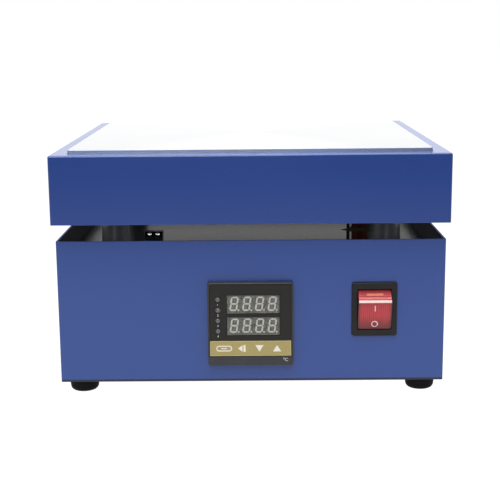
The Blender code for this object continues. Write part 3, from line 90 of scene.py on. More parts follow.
def add_node(tree, kind, settings=None, links=None):
    """Adds a node, sets its properties and inputs, and links sockets into its inputs."""
    node = tree.nodes.new(kind)
    for key, value in (settings or {}).items():
        if isinstance(key, str) and key[0].islower():
            setattr(node, key, value)
        else:
            node.inputs[key].default_value = value
    for key, socket in (links or {}).items():
        tree.links.new(socket, node.inputs[key])
    return node


def start_finish(name, colour, roughness, metallic=0.0, **sockets):
    """A Principled material with its fixed values; gives back its tree, its shader and the point on the piece."""
    made = bpy.data.materials.new(name)
    made.use_nodes = True
    tree = made.node_tree
    surface = tree.nodes["Principled BSDF"]
    base = linear(colour) if isinstance(colour, str) else (*colour[:3], 1.0)
    surface.inputs["Base Color"].default_value = base
    surface.inputs["Roughness"].default_value = roughness
    surface.inputs["Metallic"].default_value = metallic
    for socket, value in sockets.items():
        surface.inputs[socket.replace("_", " ")].default_value = value
    point = add_node(tree, "ShaderNodeTexCoord").outputs["Object"]
    return tree, surface, point


def vary(tree, target, pattern, low, high):
    """Lets a pattern from 0 to 1 move a value or a colour of the shader between two ends."""
    if isinstance(low, float):
        ends = {"To Min": low, "To Max": high}
        out = add_node(tree, "ShaderNodeMapRange", ends, {"Value": pattern}).outputs[0]
    else:
        ends = {6: low, 7: high}
        linked = {key: end for key, end in ends.items() if isinstance(end, bpy.types.NodeSocket)}
        fixed = {key: end for key, end in ends.items() if key not in linked}
        out = add_node(tree, "ShaderNodeMix", {"data_type": "RGBA", **fixed}, {0: pattern, **linked}).outputs[2]
    tree.links.new(out, target)
    return out


def relief(tree, surface, height, depth):
    """Shows a height pattern as relief of that depth in metres."""
    bump = add_node(tree, "ShaderNodeBump", {"Distance": depth}, {"Height": height})
    tree.links.new(bump.outputs[0], surface.inputs["Normal"])


def toned(colour, share):
    """A lighter or darker tone of a colour setting, as RGBA."""
    return (*(min(1.0, share * part) for part in colour[:3]), 1.0)


def per(size):
    """A noise scale whose grains are about this size in metres."""
    return 1.0 / size


def bands(pitch):
    """A wave scale whose crests are this far apart in metres."""
    return math.pi / 10 / pitch


def clouded(name, colour, roughness, metallic, grain, tones, gloss=None, depth=None, **sockets):
    """A finish where one noise, of a grain size and a detail, moves the colour, and the gloss and relief if given."""
    tree, surface, point = start_finish(name, colour, roughness, metallic, **sockets)
    size, detail = grain
    noise = add_node(tree, "ShaderNodeTexNoise", {"Scale": per(size), "Detail": detail}, {"Vector": point})
    vary(tree, surface.inputs["Base Color"], noise.outputs[0], *map(linear, tones))
    if gloss:
        vary(tree, surface.inputs["Roughness"], noise.outputs[0], *gloss)
    if depth:
        relief(tree, surface, noise.outputs[0], depth)


def woven(name, colour, roughness, thread, tones, depth):
    """A finish whose threads show as cells of that size, in colour and in relief."""
    tree, surface, point = start_finish(name, colour, roughness)
    cells = add_node(tree, "ShaderNodeTexVoronoi", {"Scale": per(thread)}, {"Vector": point})
    vary(tree, surface.inputs["Base Color"], cells.outputs["Distance"], *map(linear, tones))
    relief(tree, surface, cells.outputs["Distance"], depth)


def spark_eroded_abs(name, colour, roughness, tones, **sockets):
    """Injection-moulded ABS with the fine pitted grain of its mould, its tone drifting a little."""
    tree, surface, point = start_finish(name, colour, roughness, **sockets)
    pits = {"feature": "SMOOTH_F1", "Scale": per(0.00035), "Smoothness": 0.6}
    grain = add_node(tree, "ShaderNodeTexVoronoi", pits, {"Vector": point})
    drift = add_node(tree, "ShaderNodeTexNoise", {"Scale": per(0.008), "Detail": 2.0}, {"Vector": point})
    vary(tree, surface.inputs["Base Color"], drift.outputs[0], *map(linear, tones))
    relief(tree, surface, grain.outputs["Distance"], 0.000012)
    return tree, surface, drift.outputs[0]


# ---------------------------------------------------------------- finishes

MAKERS = {}


def finish_maker(make):
    """Lists a finish under its own name."""
    MAKERS[make.__name__] = make
    return make


@finish_maker
def powder_coated_steel(name, paint=None, flow=None, skin=0.35):
    """Polyester powder coat, satin, baked on steel sheet: a soft gloss with a faint orange peel, and painted shade
    along the lower edge of the case.
    """
    coat = bpy.context.scene.hot_plate_housings
    paint, flow = paint or coat.paint, flow or coat.paint_roughness
    tree, surface, point = start_finish(name, paint, flow, Coat_Weight=skin, Coat_Roughness=flow * 0.7)
    base = surface.inputs["Base Color"]
    clouds = add_node(tree, "ShaderNodeTexNoise", {"Scale": per(0.09), "Detail": 2.0}, {"Vector": point})
    tone = vary(tree, base, clouds.outputs[0], toned(paint, 0.93), toned(paint, 1.0))
    # Painted shade: the lowest band round the lower edge of the case is darkened to near navy, for the shadow under the
    # case
    height = add_node(tree, "ShaderNodeSeparateXYZ", {}, {0: point}).outputs["Z"]
    edge = {"From Min": LOWER_LOW.z + 0.0012, "From Max": LOWER_LOW.z + 0.0018}
    above = add_node(tree, "ShaderNodeMapRange", edge, {"Value": height}).outputs[0]
    vary(tree, base, above, linear("#0A1234"), tone)
    vary(tree, surface.inputs["Roughness"], clouds.outputs[0], flow - 0.04, flow + 0.05)
    # Orange peel is about 1 mm across
    peel = add_node(tree, "ShaderNodeTexNoise", {"Scale": per(0.0011), "Detail": 1.5}, {"Vector": point})
    relief(tree, surface, peel.outputs[0], 0.000008)


@finish_maker
def hood_coat_painted_shade(name):
    """The same coat, set darker on the upper housing as painted shade, where the front gets less light than the lower
    case.
    """
    powder_coated_steel(name, bpy.context.scene.hot_plate_housings.upper_paint_painted_shade)


@finish_maker
def rim_coat_painted_sheen(name):
    """The coat on the rim round the plate: painted paler as a painted sheen of the bright light it mirrors at a low
    angle, with a wider gloss.
    """
    powder_coated_steel(name, linear("#4264B6"), 0.26, 0.4)


@finish_maker
def powder_coated_edge(name):
    """The coat on the sheet's cut edges: thin and dull."""
    powder_coated_steel(name, None, 0.6, 0.0)


@finish_maker
def primer_and_painted_shade(name):
    """Near black inside and under the case: bare primer, darkened as painted shade where the inner walls and the
    underside lie in shadow.
    """
    clouded(name, "#1B1E26", 0.5, 0.0, (0.01, 3.0), ("#171A22", "#22262F"), Specular_IOR_Level=0.4)


@finish_maker
def face_turned_aluminium(name):
    """Cast aluminium plate faced on a lathe: fine rings about its centre that stretch the gloss into wedges."""
    plate = bpy.context.scene.hot_plate_plate
    tree, surface, point = start_finish(name, plate.metal, 0.30, 1.0, Anisotropic=0.6)
    flat = add_node(tree, "ShaderNodeVectorMath", {"operation": "MULTIPLY", 1: (1.0, 1.0, 0.0)}, {0: point})
    # The tool left a ring each 0.2 mm, too fine to show: they are drawn at the plate's own pitch setting
    ring = {"wave_type": "RINGS", "rings_direction": "SPHERICAL", "Scale": bands(plate.ring_pitch), "Distortion": 0.0}
    rings = add_node(tree, "ShaderNodeTexWave", ring, {"Vector": flat.outputs[0]})
    smear = add_node(tree, "ShaderNodeTexNoise", {"Scale": per(0.05), "Detail": 3.0}, {"Vector": point})
    fine = {"noise_dimensions": "1D", "Scale": per(0.0009), "Detail": 3.0}
    radius = add_node(tree, "ShaderNodeVectorMath", {"operation": "LENGTH"}, {0: flat.outputs[0]})
    passes = add_node(tree, "ShaderNodeTexNoise", fine, {"W": radius.outputs["Value"]})
    vary(tree, surface.inputs["Base Color"], passes.outputs[0], toned(plate.metal, 0.95), toned(plate.metal, 1.0))
    vary(tree, surface.inputs["Roughness"], smear.outputs[0], 0.24, 0.38)
    relief(tree, surface, rings.outputs[1], 0.000002)
    # The grooves run round the centre, so the gloss is stretched along the radius
    tree.links.new(flat.outputs[0], surface.inputs["Tangent"])


@finish_maker
def milled_aluminium(name):
    """The plate's milled sides: satin, with the cutter's marks drawn along them."""
    tree, surface, point = start_finish(name, "#A9B2C6", 0.42, 1.0)
    stretch = add_node(tree, "ShaderNodeMapping", {"Scale": (1.0, 1.0, 12.0)}, {"Vector": point})
    drawn = {"Scale": per(0.004), "Detail": 3.0}
    marks = add_node(tree, "ShaderNodeTexNoise", drawn, {"Vector": stretch.outputs[0]})
    vary(tree, surface.inputs["Base Color"], marks.outputs[0], linear("#9BA6BC"), linear("#B7BFD0"))
    vary(tree, surface.inputs["Roughness"], marks.outputs[0], 0.36, 0.5)


@finish_maker
def turned_stainless(name):
    """Bright stainless bar turned to size: a hard gloss over grey, with hair-fine lines round it."""
    tree, surface, point = start_finish(name, "#A4A5A8", 0.24, 0.45, Anisotropic=0.5)
    line = {"bands_direction": "Z", "Scale": bands(0.0005), "Distortion": 0.6, "Detail": 2.0}
    lines = add_node(tree, "ShaderNodeTexWave", line, {"Vector": point})
    vary(tree, surface.inputs["Roughness"], lines.outputs[1], 0.18, 0.32)
    relief(tree, surface, lines.outputs[1], 0.000003)
    # The grooves run round the bar, so the gloss is stretched upright
    upright = add_node(tree, "ShaderNodeCombineXYZ", {"Z": 1.0})
    tree.links.new(upright.outputs[0], surface.inputs["Tangent"])


@finish_maker
def zinc_plated_steel(name):
    """Rolled steel with blue-white zinc plate: grey, cloudy, with drawn-out rolling marks."""
    tree, surface, point = start_finish(name, "#5C5A56", 0.34, 0.7)
    stretch = add_node(tree, "ShaderNodeMapping", {"Scale": (1.0, 6.0, 1.0)}, {"Vector": point})
    drawn = {"Scale": per(0.006), "Detail": 4.0, "Roughness": 0.6}
    marks = add_node(tree, "ShaderNodeTexNoise", drawn, {"Vector": stretch.outputs[0]})
    sheet = vary(tree, surface.inputs["Base Color"], marks.outputs[0], linear("#4E4D4A"), linear("#66655F"))
    # Painted shade: the deck's folded flanges along the side walls are darkened to near black, for the shadow between
    # the housings
    parts = add_node(tree, "ShaderNodeSeparateXYZ", {}, {0: point})
    aside = add_node(tree, "ShaderNodeMath", {"operation": "ABSOLUTE"}, {0: parts.outputs["X"]}).outputs[0]
    bend = {"From Min": LOWER_HIGH.x - 0.0040, "From Max": LOWER_HIGH.x - 0.0034}
    flange_painted_shade = add_node(tree, "ShaderNodeMapRange", bend, {"Value": aside}).outputs[0]
    vary(tree, surface.inputs["Base Color"], flange_painted_shade, sheet, linear("#1B1D22"))
    vary(tree, surface.inputs["Roughness"], marks.outputs[0], 0.22, 0.38)
    relief(tree, surface, marks.outputs[0], 0.000010)


@finish_maker
def plated_fastener(name):
    """Cold-headed screw with bright zinc: smooth, slightly blue."""
    clouded(name, "#D0D1D3", 0.24, 1.0, (0.0015, 3.0), ("#BEC1C6", "#DEDDD8"), depth=0.000006)


@finish_maker
def oxidised_sheath(name):
    """Sheathed heating rod, blued and browned by its own heat."""
    clouded(name, "#5A5148", 0.45, 0.9, (0.012, 4.0), ("#3C3A42", "#7A6A58"), gloss=(0.35, 0.6))


@finish_maker
def ceramic_fibre_board(name):
    """Pressed ceramic fibre: chalky, off-white, felted on its faces."""
    clouded(name, "#E4DFD0", 0.95, 0.0, (0.0009, 5.0), ("#D2CBB8", "#EFEBDF"), depth=0.00012)


@finish_maker
def moulded_rubber(name):
    """Black moulded rubber, dull, with a fine grain and a trace of release powder."""
    tree, surface, point = start_finish(name, "#0E0E0F", 0.7, Specular_IOR_Level=0.15)
    grain = add_node(tree, "ShaderNodeTexNoise", {"Scale": per(0.0004), "Detail": 4.0}, {"Vector": point})
    powder = add_node(tree, "ShaderNodeTexNoise", {"Scale": per(0.005), "Detail": 3.0}, {"Vector": point})
    vary(tree, surface.inputs["Base Color"], powder.outputs[0], linear("#09090A"), linear("#131314"))
    vary(tree, surface.inputs["Roughness"], powder.outputs[0], 0.62, 0.8)
    relief(tree, surface, grain.outputs[0], 0.00003)


@finish_maker
def textured_abs(name):
    """Black ABS of the switch, the inlet and the terminal: satin, slightly uneven."""
    tones = ("#111114", "#1B1B1F")
    tree, surface, drift = spark_eroded_abs(name, "#151518", 0.4, tones, Specular_IOR_Level=0.4)
    vary(tree, surface.inputs["Roughness"], drift, 0.36, 0.48)


@finish_maker
def grained_bezel_abs(name):
    """Charcoal ABS of the controller's bezel: the same grain, a lighter grey."""
    spark_eroded_abs(name, "#333135", 0.42, ("#2C2A2E", "#39373B"))


@finish_maker
def printed_polyester_film(name):
    """Overlay film printed dark on its back: an even, velvet-matt face."""
    clouded(name, "#201F1D", 0.38, 0.0, (0.00025, 2.0), ("#1B1A18", "#252422"), depth=0.000006, Specular_IOR_Level=0.35)


@finish_maker
def display_filter(name):
    """Grey epoxy face of an LED display, unlit: matt, with a fine speckle of filler."""
    tree, surface, point = start_finish(name, "#6C6D66", 0.42)
    filler = add_node(tree, "ShaderNodeTexNoise", {"Scale": per(0.0007), "Detail": 4.0}, {"Vector": point})
    spread = {"From Min": 0.34, "From Max": 0.66}
    contrast = add_node(tree, "ShaderNodeMapRange", spread, {"Value": filler.outputs[0]})
    vary(tree, surface.inputs["Base Color"], contrast.outputs[0], linear("#3C3D3A"), linear("#73736C"))


@finish_maker
def segment_diffuser(name):
    """Milky light guide of an unlit display segment: pale grey, faintly waxy."""
    wax = {"Subsurface_Weight": 0.2, "Subsurface_Scale": 0.0005}
    clouded(name, "#B9B9AF", 0.35, 0.0, (0.0012, 2.0), ("#A9A99F", "#C9C9BF"), **wax)


@finish_maker
def lamp_lens(name):
    """Clear epoxy lens of an unlit lamp with the dark face behind it: smoky grey, glossy."""
    clouded(name, "#5B575C", 0.16, 0.0, (0.002, 1.0), ("#504C51", "#69656A"), Coat_Weight=0.5, Coat_Roughness=0.05)


@finish_maker
def gold_keypad_film(name):
    """Keypad film printed in old gold: satin, with the slight cloudiness of metallic ink."""
    pad = bpy.context.scene.hot_plate_controller
    tree, surface, point = start_finish(name, pad.strip, 0.42, 0.25)
    flake = {"Scale": per(0.0011), "Detail": 4.0, "Roughness": 0.6}
    ink = add_node(tree, "ShaderNodeTexNoise", flake, {"Vector": point})
    vary(tree, surface.inputs["Base Color"], ink.outputs[0], toned(pad.strip, 0.80), toned(pad.strip, 1.18))
    vary(tree, surface.inputs["Roughness"], ink.outputs[0], 0.36, 0.5)
    relief(tree, surface, ink.outputs[0], 0.000008)


@finish_maker
def ivory_ink(name):
    """Screen-printed ink, warm white and matt, a little uneven in its cover."""
    clouded(name, "#E9E4D4", 0.5, 0.0, (0.0008, 2.0), ("#DDD6C4", "#F2EEE2"))


@finish_maker
def hot_stamped_white(name):
    """White foil stamped into the rocker, pinked by the red round it."""
    clouded(name, "#F0D3D8", 0.4, 0.0, (0.0006, 2.0), ("#E7BFC6", "#F8E4E6"))


@finish_maker
def glass_epoxy_laminate(name):
    """Circuit laminate under green solder mask: glossy, with the glass weave just showing."""
    woven(name, "#1C5A38", 0.3, 0.0012, ("#174F30", "#236844"), 0.00001)


@finish_maker
def red_polycarbonate(name):
    """Tinted polycarbonate rocker over its unlit lamp: glossy, light glows a little way in, with painted shade towards
    its ends and sides.
    """
    switch = bpy.context.scene.hot_plate_switch
    skin = {"Subsurface_Weight": 0.35, "Subsurface_Scale": 0.0016, "Coat_Weight": 0.5, "Coat_Roughness": 0.06}
    tree, surface, point = start_finish(name, switch.rocker, 0.20, **skin)
    surface.inputs["Subsurface Radius"].default_value = (1.0, 0.16, 0.14)
    # Painted shade of the ribs: darker stripes at the rib pitch, varied by a random cloud
    rib = {"bands_direction": "X", "Scale": bands(switch.rib_pitch), "Distortion": 0.5, "Detail": 2.0}
    ribs = add_node(tree, "ShaderNodeTexWave", rib, {"Vector": point})
    cloud = add_node(tree, "ShaderNodeTexNoise", {"Scale": per(0.004), "Detail": 2.0}, {"Vector": point})
    mixed = add_node(tree, "ShaderNodeMath", {"operation": "MULTIPLY"}, {0: ribs.outputs[1], 1: cloud.outputs[0]})
    base = surface.inputs["Base Color"]
    red = vary(tree, base, mixed.outputs[0], toned(switch.rocker, 1.0), toned(switch.rocker, 0.45))
    # Painted shade: the face is darker towards its bottom, just under the crest and towards its sides, where less light
    # falls
    parts = add_node(tree, "ShaderNodeSeparateXYZ", {}, {0: point})
    aside = add_node(tree, "ShaderNodeMath", {"operation": "SUBTRACT", 1: ROCKER_PIVOT.x}, {0: parts.outputs["X"]})
    aside = add_node(tree, "ShaderNodeMath", {"operation": "ABSOLUTE"}, {0: aside.outputs[0]}).outputs[0]
    shade = None
    for value, start, end, first, last in (
        (parts.outputs["Z"], ROCKER_PIVOT.z - 0.0100, ROCKER_PIVOT.z - 0.0030, 0.35, 1.0),
        (parts.outputs["Z"], ROCKER_PIVOT.z + 0.0010, ROCKER_PIVOT.z + 0.0056, 1.0, 0.68),
        (aside, 0.0078, 0.0093, 1.0, 0.35),
    ):
        fall = {"From Min": start, "From Max": end, "To Min": first, "To Max": last}
        part = add_node(tree, "ShaderNodeMapRange", fall, {"Value": value}).outputs[0]
        if shade:
            part = add_node(tree, "ShaderNodeMath", {"operation": "MULTIPLY"}, {0: shade, 1: part}).outputs[0]
        shade = part
    vary(tree, base, shade, BLACK, red)


@finish_maker
def crest_painted_highlight(name):
    """The rocker's rolled crest, painted near white as a painted highlight of the light it catches, under a polished
    gloss.
    """
    clouded(name, "#F6DAD4", 0.15, 0.0, (0.003, 2.0), ("#F0CAC4", "#FBE6E0"), Coat_Weight=1.0, Coat_Roughness=0.05)


@finish_maker
def red_end_painted_light(name):
    """The rocker's upper end over its lamp: a pinker red as painted light where it faces up to the light, with painted
    shade towards its top.
    """
    tree, surface, point = start_finish(name, "#DB565A", 0.22, Coat_Weight=0.6, Coat_Roughness=0.08)
    cloud = add_node(tree, "ShaderNodeTexNoise", {"Scale": per(0.004), "Detail": 2.0}, {"Vector": point})
    pink = vary(tree, surface.inputs["Base Color"], cloud.outputs[0], linear("#CF4A52"), linear("#E66260"))
    # Painted shade: darker towards the top of the end, under the edge of the mouth
    height = add_node(tree, "ShaderNodeSeparateXYZ", {}, {0: point}).outputs["Z"]
    fall = {"From Min": ROCKER_PIVOT.z + 0.0082, "From Max": ROCKER_PIVOT.z + 0.0112, "To Min": 1.0, "To Max": 0.15}
    shade = add_node(tree, "ShaderNodeMapRange", fall, {"Value": height}).outputs[0]
    vary(tree, surface.inputs["Base Color"], shade, BLACK, pink)


@finish_maker
def lamp_window(name):
    """The neon lamp's reflector seen through the rocker's end: amber in the red."""
    clouded(name, "#E07C60", 0.3, 0.0, (0.003, 1.0), ("#DA6C5A", "#E28E62"), Coat_Weight=0.4, Coat_Roughness=0.08)


@finish_maker
def varnished_sleeve(name):
    """Glass-fibre sleeve soaked in dark red silicone varnish: thick strands under a dull skin."""
    clouded(name, "#5E1A1A", 0.55, 0.0, (0.0012, 3.0), ("#431012", "#7A2A24"), gloss=(0.42, 0.7), depth=0.00006)


@finish_maker
def glass_fibre_braid(name):
    """Thin braided glass fibre lead, tanned brown by heat."""
    woven(name, "#4A4230", 0.8, 0.0006, ("#352E20", "#6A5F45"), 0.00005)


@finish_maker
def dark_braid(name):
    """Thin braided glass fibre lead, black with soot and oil in its weave."""
    woven(name, "#26221E", 0.7, 0.0005, ("#1C1916", "#3A332B"), 0.00004)


@finish_maker
def nickelled_brass(name):
    """Stamped brass contact, lightly nickel-plated, warm where it is worn."""
    clouded(name, "#CDBB8E", 0.26, 1.0, (0.003, 3.0), ("#C4A86A", "#D3CDBC"), gloss=(0.2, 0.36))


@finish_maker
def fuse_glass(name):
    """Glass tube of a fuse with the cold sheen of its caps."""
    clouded(name, "#C9D0CF", 0.08, 0.0, (0.004, 1.0), ("#BFC7C6", "#D8DDDC"), Coat_Weight=0.6, Coat_Roughness=0.04)


@finish_maker
def relay_moulding(name):
    """Thermoset relay case, ivory white, satin with a fine grain."""
    clouded(name, "#DAD9D2", 0.5, 0.0, (0.0008, 3.0), ("#D0CFC7", "#E4E3DC"), depth=0.00002)


@finish_maker
def pale_gold_line(name):
    """The unprinted edge of the keypad film, a paler gold."""
    clouded(name, "#CFC08A", 0.4, 0.0, (0.001, 2.0), ("#C2B279", "#DACD9C"))


LOOK_OF_SLOT = {
    "blue_paint": "powder_coated_steel",
    "plate_aluminium": "face_turned_aluminium",
    "zinc_steel": "zinc_plated_steel",
    "polished_steel": "turned_stainless",
    "element_steel": "oxidised_sheath",
    "ceramic_fibre": "ceramic_fibre_board",
    "black_rubber": "moulded_rubber",
    "black_plastic": "textured_abs",
    "fascia_film": "printed_polyester_film",
    "display_grey": "display_filter",
    "lamp_clear": "lamp_lens",
    "key_gold": "gold_keypad_film",
    "circuit_green": "glass_epoxy_laminate",
    "rocker_red": "red_polycarbonate",
    "red_sleeve": "varnished_sleeve",
    "brown_braid": "dark_braid",
    "brass": "nickelled_brass",
    "fuse_glass": "fuse_glass",
    "relay_white": "relay_moulding",
}


def finish(name):
    """The material of that name, made the first time it is asked for."""
    if name not in bpy.data.materials:
        MAKERS[name](name)
    return bpy.data.materials[name]


# ---------------------------------------------------------------- forms


def block(bm, low, high):
    """Adds a box between two corners and gives back its vertices."""
    verts = bmesh.ops.create_cube(bm, size=1.0)["verts"]
    low, high = Vector(low), Vector(high)
    bmesh.ops.scale(bm, vec=high - low, verts=verts)
    bmesh.ops.translate(bm, vec=(low + high) / 2, verts=verts)
    return verts


def edges_of(verts, chosen=lambda middle, along: True):
    """Edges between the given vertices whose middle and direction pass the test."""
    inside = set(verts)
    found = []
    for edge in dict.fromkeys(edge for vert in verts for edge in vert.link_edges):
        start, end = edge.verts
        if start in inside and end in inside:
            if chosen((start.co + end.co) / 2, (end.co - start.co).normalized()):
                found.append(edge)
    return found


def along_y(middle, along):
    """Picks the edges that run through the panel."""
    return abs(along.y) > 0.9


def along_z(middle, along):
    """Picks the upright edges."""
    return abs(along.z) > 0.9


def soften(bm, geom, radius, steps=3, affect="EDGES"):
    """Rounds edges, or the corners of a flat face, to a radius."""
    bmesh.ops.bevel(
        bm,
        geom=geom,
        offset=radius,
        offset_type="OFFSET",
        segments=steps,
        profile=0.5,
        affect=affect,
        clamp_overlap=True,
        material=-1,
    )


def soft_block(bm, low, high, radius, steps=3):
    """A box with all its edges rounded."""
    soften(bm, edges_of(block(bm, low, high)), radius, steps)


def spun(profile, at=(0, 0, 0), axis="Z", steps=48):
    """A bmesh of a profile of (radius, height) points turned about an axis through a point."""
    bm = bmesh.new()
    points = [bm.verts.new((radius, 0.0, height)) for radius, height in profile]
    line = [bm.edges.new(pair) for pair in zip(points, points[1:])]
    bmesh.ops.spin(
        bm,
        geom=points + line,
        cent=(0, 0, 0),
        axis=(0, 0, 1),
        dvec=(0, 0, 0),
        angle=2 * math.pi,
        steps=steps,
        use_merge=True,
        use_duplicate=False,
    )
    bmesh.ops.remove_doubles(bm, verts=bm.verts, dist=1e-6)
    bmesh.ops.recalc_face_normals(bm, faces=bm.faces)
    bmesh.ops.transform(bm, matrix=lay_along(axis, at), verts=bm.verts)
    return bm


def lay_along(axis, at):
    """The matrix that lays a form's Z along an axis, at a point."""
    angle, about = {"Z": (0, "X"), "-Z": (2, "X"), "X": (1, "Y"), "-X": (-1, "Y"), "-Y": (1, "X"), "Y": (-1, "X")}[axis]
    return Matrix.Translation(at) @ Matrix.Rotation(angle * math.pi / 2, 4, about)


def take(bm, other):
    """Adds one bmesh to another."""
    mesh = bpy.data.meshes.new("taken")
    other.to_mesh(mesh)
    other.free()
    bm.from_mesh(mesh)
    bpy.data.meshes.remove(mesh)


@contextmanager
def reshaping(obj):
    """Opens a piece's mesh as a bmesh and writes it back."""
    bm = bmesh.new()
    bm.from_mesh(obj.data)
    yield bm
    bm.to_mesh(obj.data)
    bm.free()


def grow(bm, edges):
    """Extrudes edges, and gives back the new edges and their vertices."""
    grown = bmesh.ops.extrude_edge_only(bm, edges=edges)["geom"]
    verts = [item for item in grown if isinstance(item, bmesh.types.BMVert)]
    edges = [item for item in grown if isinstance(item, bmesh.types.BMEdge)]
    return [edge for edge in edges if edge.verts[0] in verts and edge.verts[1] in verts], verts


def thicken(bm, faces, depth):
    """Gives flat faces in the panel their depth along Y."""
    grown = bmesh.ops.extrude_face_region(bm, geom=faces)["geom"]
    bmesh.ops.translate(bm, vec=(0, depth, 0), verts=[v for v in grown if isinstance(v, bmesh.types.BMVert)])
    bmesh.ops.recalc_face_normals(bm, faces=bm.faces)


def span(node):
    """The low corner, the high corner and the middle of a node of the frame."""
    low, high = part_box(node)
    return low, high, (low + high) / 2


def bare_piece(name, bm):
    """An object in the scene with no finish yet."""
    mesh = bpy.data.meshes.new(name)
    bm.to_mesh(mesh)
    bm.free()
    obj = bpy.data.objects.new(name, mesh)
    bpy.context.scene.collection.objects.link(obj)
    return obj


def settle(obj):
    """Makes the object's modifiers part of its mesh."""
    bpy.context.view_layer.update()
    mesh = bpy.data.meshes.new_from_object(obj.evaluated_get(bpy.context.evaluated_depsgraph_get()))
    obj.modifiers.clear()
    old = obj.data
    obj.data = mesh
    bpy.data.meshes.remove(old)


def change(obj, kind, **settings):
    """Runs one modifier on the object and makes it part of the mesh."""
    step = obj.modifiers.new(kind.lower(), kind)
    for key, value in settings.items():
        setattr(step, key, value)
    settle(obj)


def ease(obj, above, radius):
    """A small radius on the edges that are sharper than an angle in degrees."""
    change(obj, "BEVEL", limit_method="ANGLE", angle_limit=math.radians(above), width=radius, segments=2)


def carve_block(obj, low, high):
    """Cuts a box out of the object."""
    tool = bmesh.new()
    block(tool, low, high)
    carve(obj, tool)


def carve(obj, tool, operation="DIFFERENCE"):
    """Cuts or joins the object with a bmesh, which is used up."""
    other = bare_piece("tool", tool)
    change(obj, "BOOLEAN", operation=operation, object=other)
    mesh = other.data
    bpy.data.objects.remove(other)
    bpy.data.meshes.remove(mesh)


def dress(obj, look, body="base", instead_of=(), sharp=40.0):
    """Gives a piece its finish, its smooth shading and its body, and hides the nodes it stands for."""
    obj.data.materials.clear()
    obj.data.materials.append(finish(look))
    obj.data.shade_smooth()
    obj.data.set_sharp_from_angle(angle=math.radians(sharp))
    even = obj.modifiers.new("even shading", "WEIGHTED_NORMAL")
    even.keep_sharp = True
    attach(obj, body)
    if instead_of:
        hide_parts(*instead_of)
    return obj


def piece(name, bm, look, body="base", instead_of=(), sharp=40.0):
    """A finished piece made of a bmesh."""
    return dress(bare_piece(name, bm), look, body, instead_of, sharp)


def merged_copy(node):
    """A bmesh copy of a node of the frame, with its loose triangles joined to whole faces."""
    bm = bmesh.new()
    bm.from_mesh(frame["nodes"][node].data)
    bmesh.ops.remove_doubles(bm, verts=bm.verts, dist=1e-6)
    bmesh.ops.dissolve_limit(bm, angle_limit=math.radians(1), verts=bm.verts, edges=bm.edges)
    return bm


def eased_copy(node, radius, steps=2, above=30.0):
    """A merged copy whose sharp edges are eased by a small radius."""
    bm = merged_copy(node)
    sharp = [edge for edge in bm.edges if edge.is_manifold and edge.calc_face_angle() > math.radians(above)]
    soften(bm, sharp, radius, steps)
    return bm


def round_panel(name, low, high, facing, corner, edge, barrel_low, barrel_high):
    """A moulded bezel with round corners and a soft front edge, joined to the barrel behind it."""
    bm = bmesh.new()
    verts = block(bm, low, high)
    soften(bm, edges_of(verts, along_y), corner, 6)
    front = low[1] if facing < 0 else high[1]
    soften(bm, edges_of(bm.verts, lambda middle, along: abs(middle.y - front) < 1e-7), edge, 4)
    obj = bare_piece(name, bm)
    barrel = bmesh.new()
    block(barrel, barrel_low, barrel_high)
    carve(obj, barrel, "UNION")
    return obj


# ---------------------------------------------------------------- what a user would change


def colour_setting(name, about, code):
    """A colour that a user may change."""
    return bpy.props.FloatVectorProperty(
        name=name, description=about, subtype="COLOR", size=3, default=linear(code)[:3]
    )


def length_setting(name, about, size):
    """A length in metres that a user may change."""
    return bpy.props.FloatProperty(name=name, description=about, unit="LENGTH", precision=5, default=size)


def level_setting(name, about, default, subtype="NONE"):
    """A plain number, share, power or angle that a user may change."""
    return bpy.props.FloatProperty(name=name, description=about, subtype=subtype, default=default)


class HousingSettings(bpy.types.PropertyGroup):
    paint: colour_setting("Paint", "Colour of the powder coat", "#2A488F")
    # Painted shade: the upper housing's coat is darker than the lower case's, standing for the light it lacks
    upper_paint_painted_shade: colour_setting("Upper paint", "Coat of the upper housing", "#274286")
    paint_roughness: level_setting("Paint roughness", "Spread of the coat's gloss", 0.18, "FACTOR")
    sheet: length_setting("Sheet", "Thickness of the steel", 0.0012)
    bottom_bend: length_setting("Bottom bend", "Outer radius at the bottom", 0.0004)
    corner_bend: length_setting("Corner bend", "Outer radius of the upright corners", 0.0009)
    sheet_edge: length_setting("Sheet edge", "Radius of the cut edges", 0.0002)
    boss_height: length_setting("Foot boss", "Drop of the bosses over the feet", 0.0001)
    vents: bpy.props.IntProperty(name="Vents", description="Slots in the back and in the floor", default=7)
    vent_pitch: length_setting("Vent pitch", "From slot to slot", 0.008)


class PlateSettings(bpy.types.PropertyGroup):
    metal: colour_setting("Metal", "Colour of the plate", "#F0F1F2")
    ring_pitch: length_setting("Ring pitch", "Distance of the drawn turning rings", 0.0012)
    edge: length_setting("Edge", "Radius of the plate's edges", 0.0006)


class ControllerSettings(bpy.types.PropertyGroup):
    strip: colour_setting("Key strip", "Colour of the keypad film", "#AE9E66")
    digit_height: length_setting("Digit height", "Height of one digit", 0.0083)
    digit_width: length_setting("Digit width", "Width of one digit", 0.0044)
    digit_pitch: length_setting("Digit pitch", "From digit to digit", 0.00713)
    stroke: length_setting("Segment", "Width of one segment", 0.0009)
    slant: level_setting("Slant", "Lean of the digits", math.radians(8), "ANGLE")


class SwitchSettings(bpy.types.PropertyGroup):
    rocker: colour_setting("Rocker", "Colour of the rocker", "#C4303A")
    rib_pitch: length_setting("Rib pitch", "From rib to rib", 0.001094)
    tilt: level_setting("Tilt", "Lean of the rocker at rest", math.radians(16), "ANGLE")


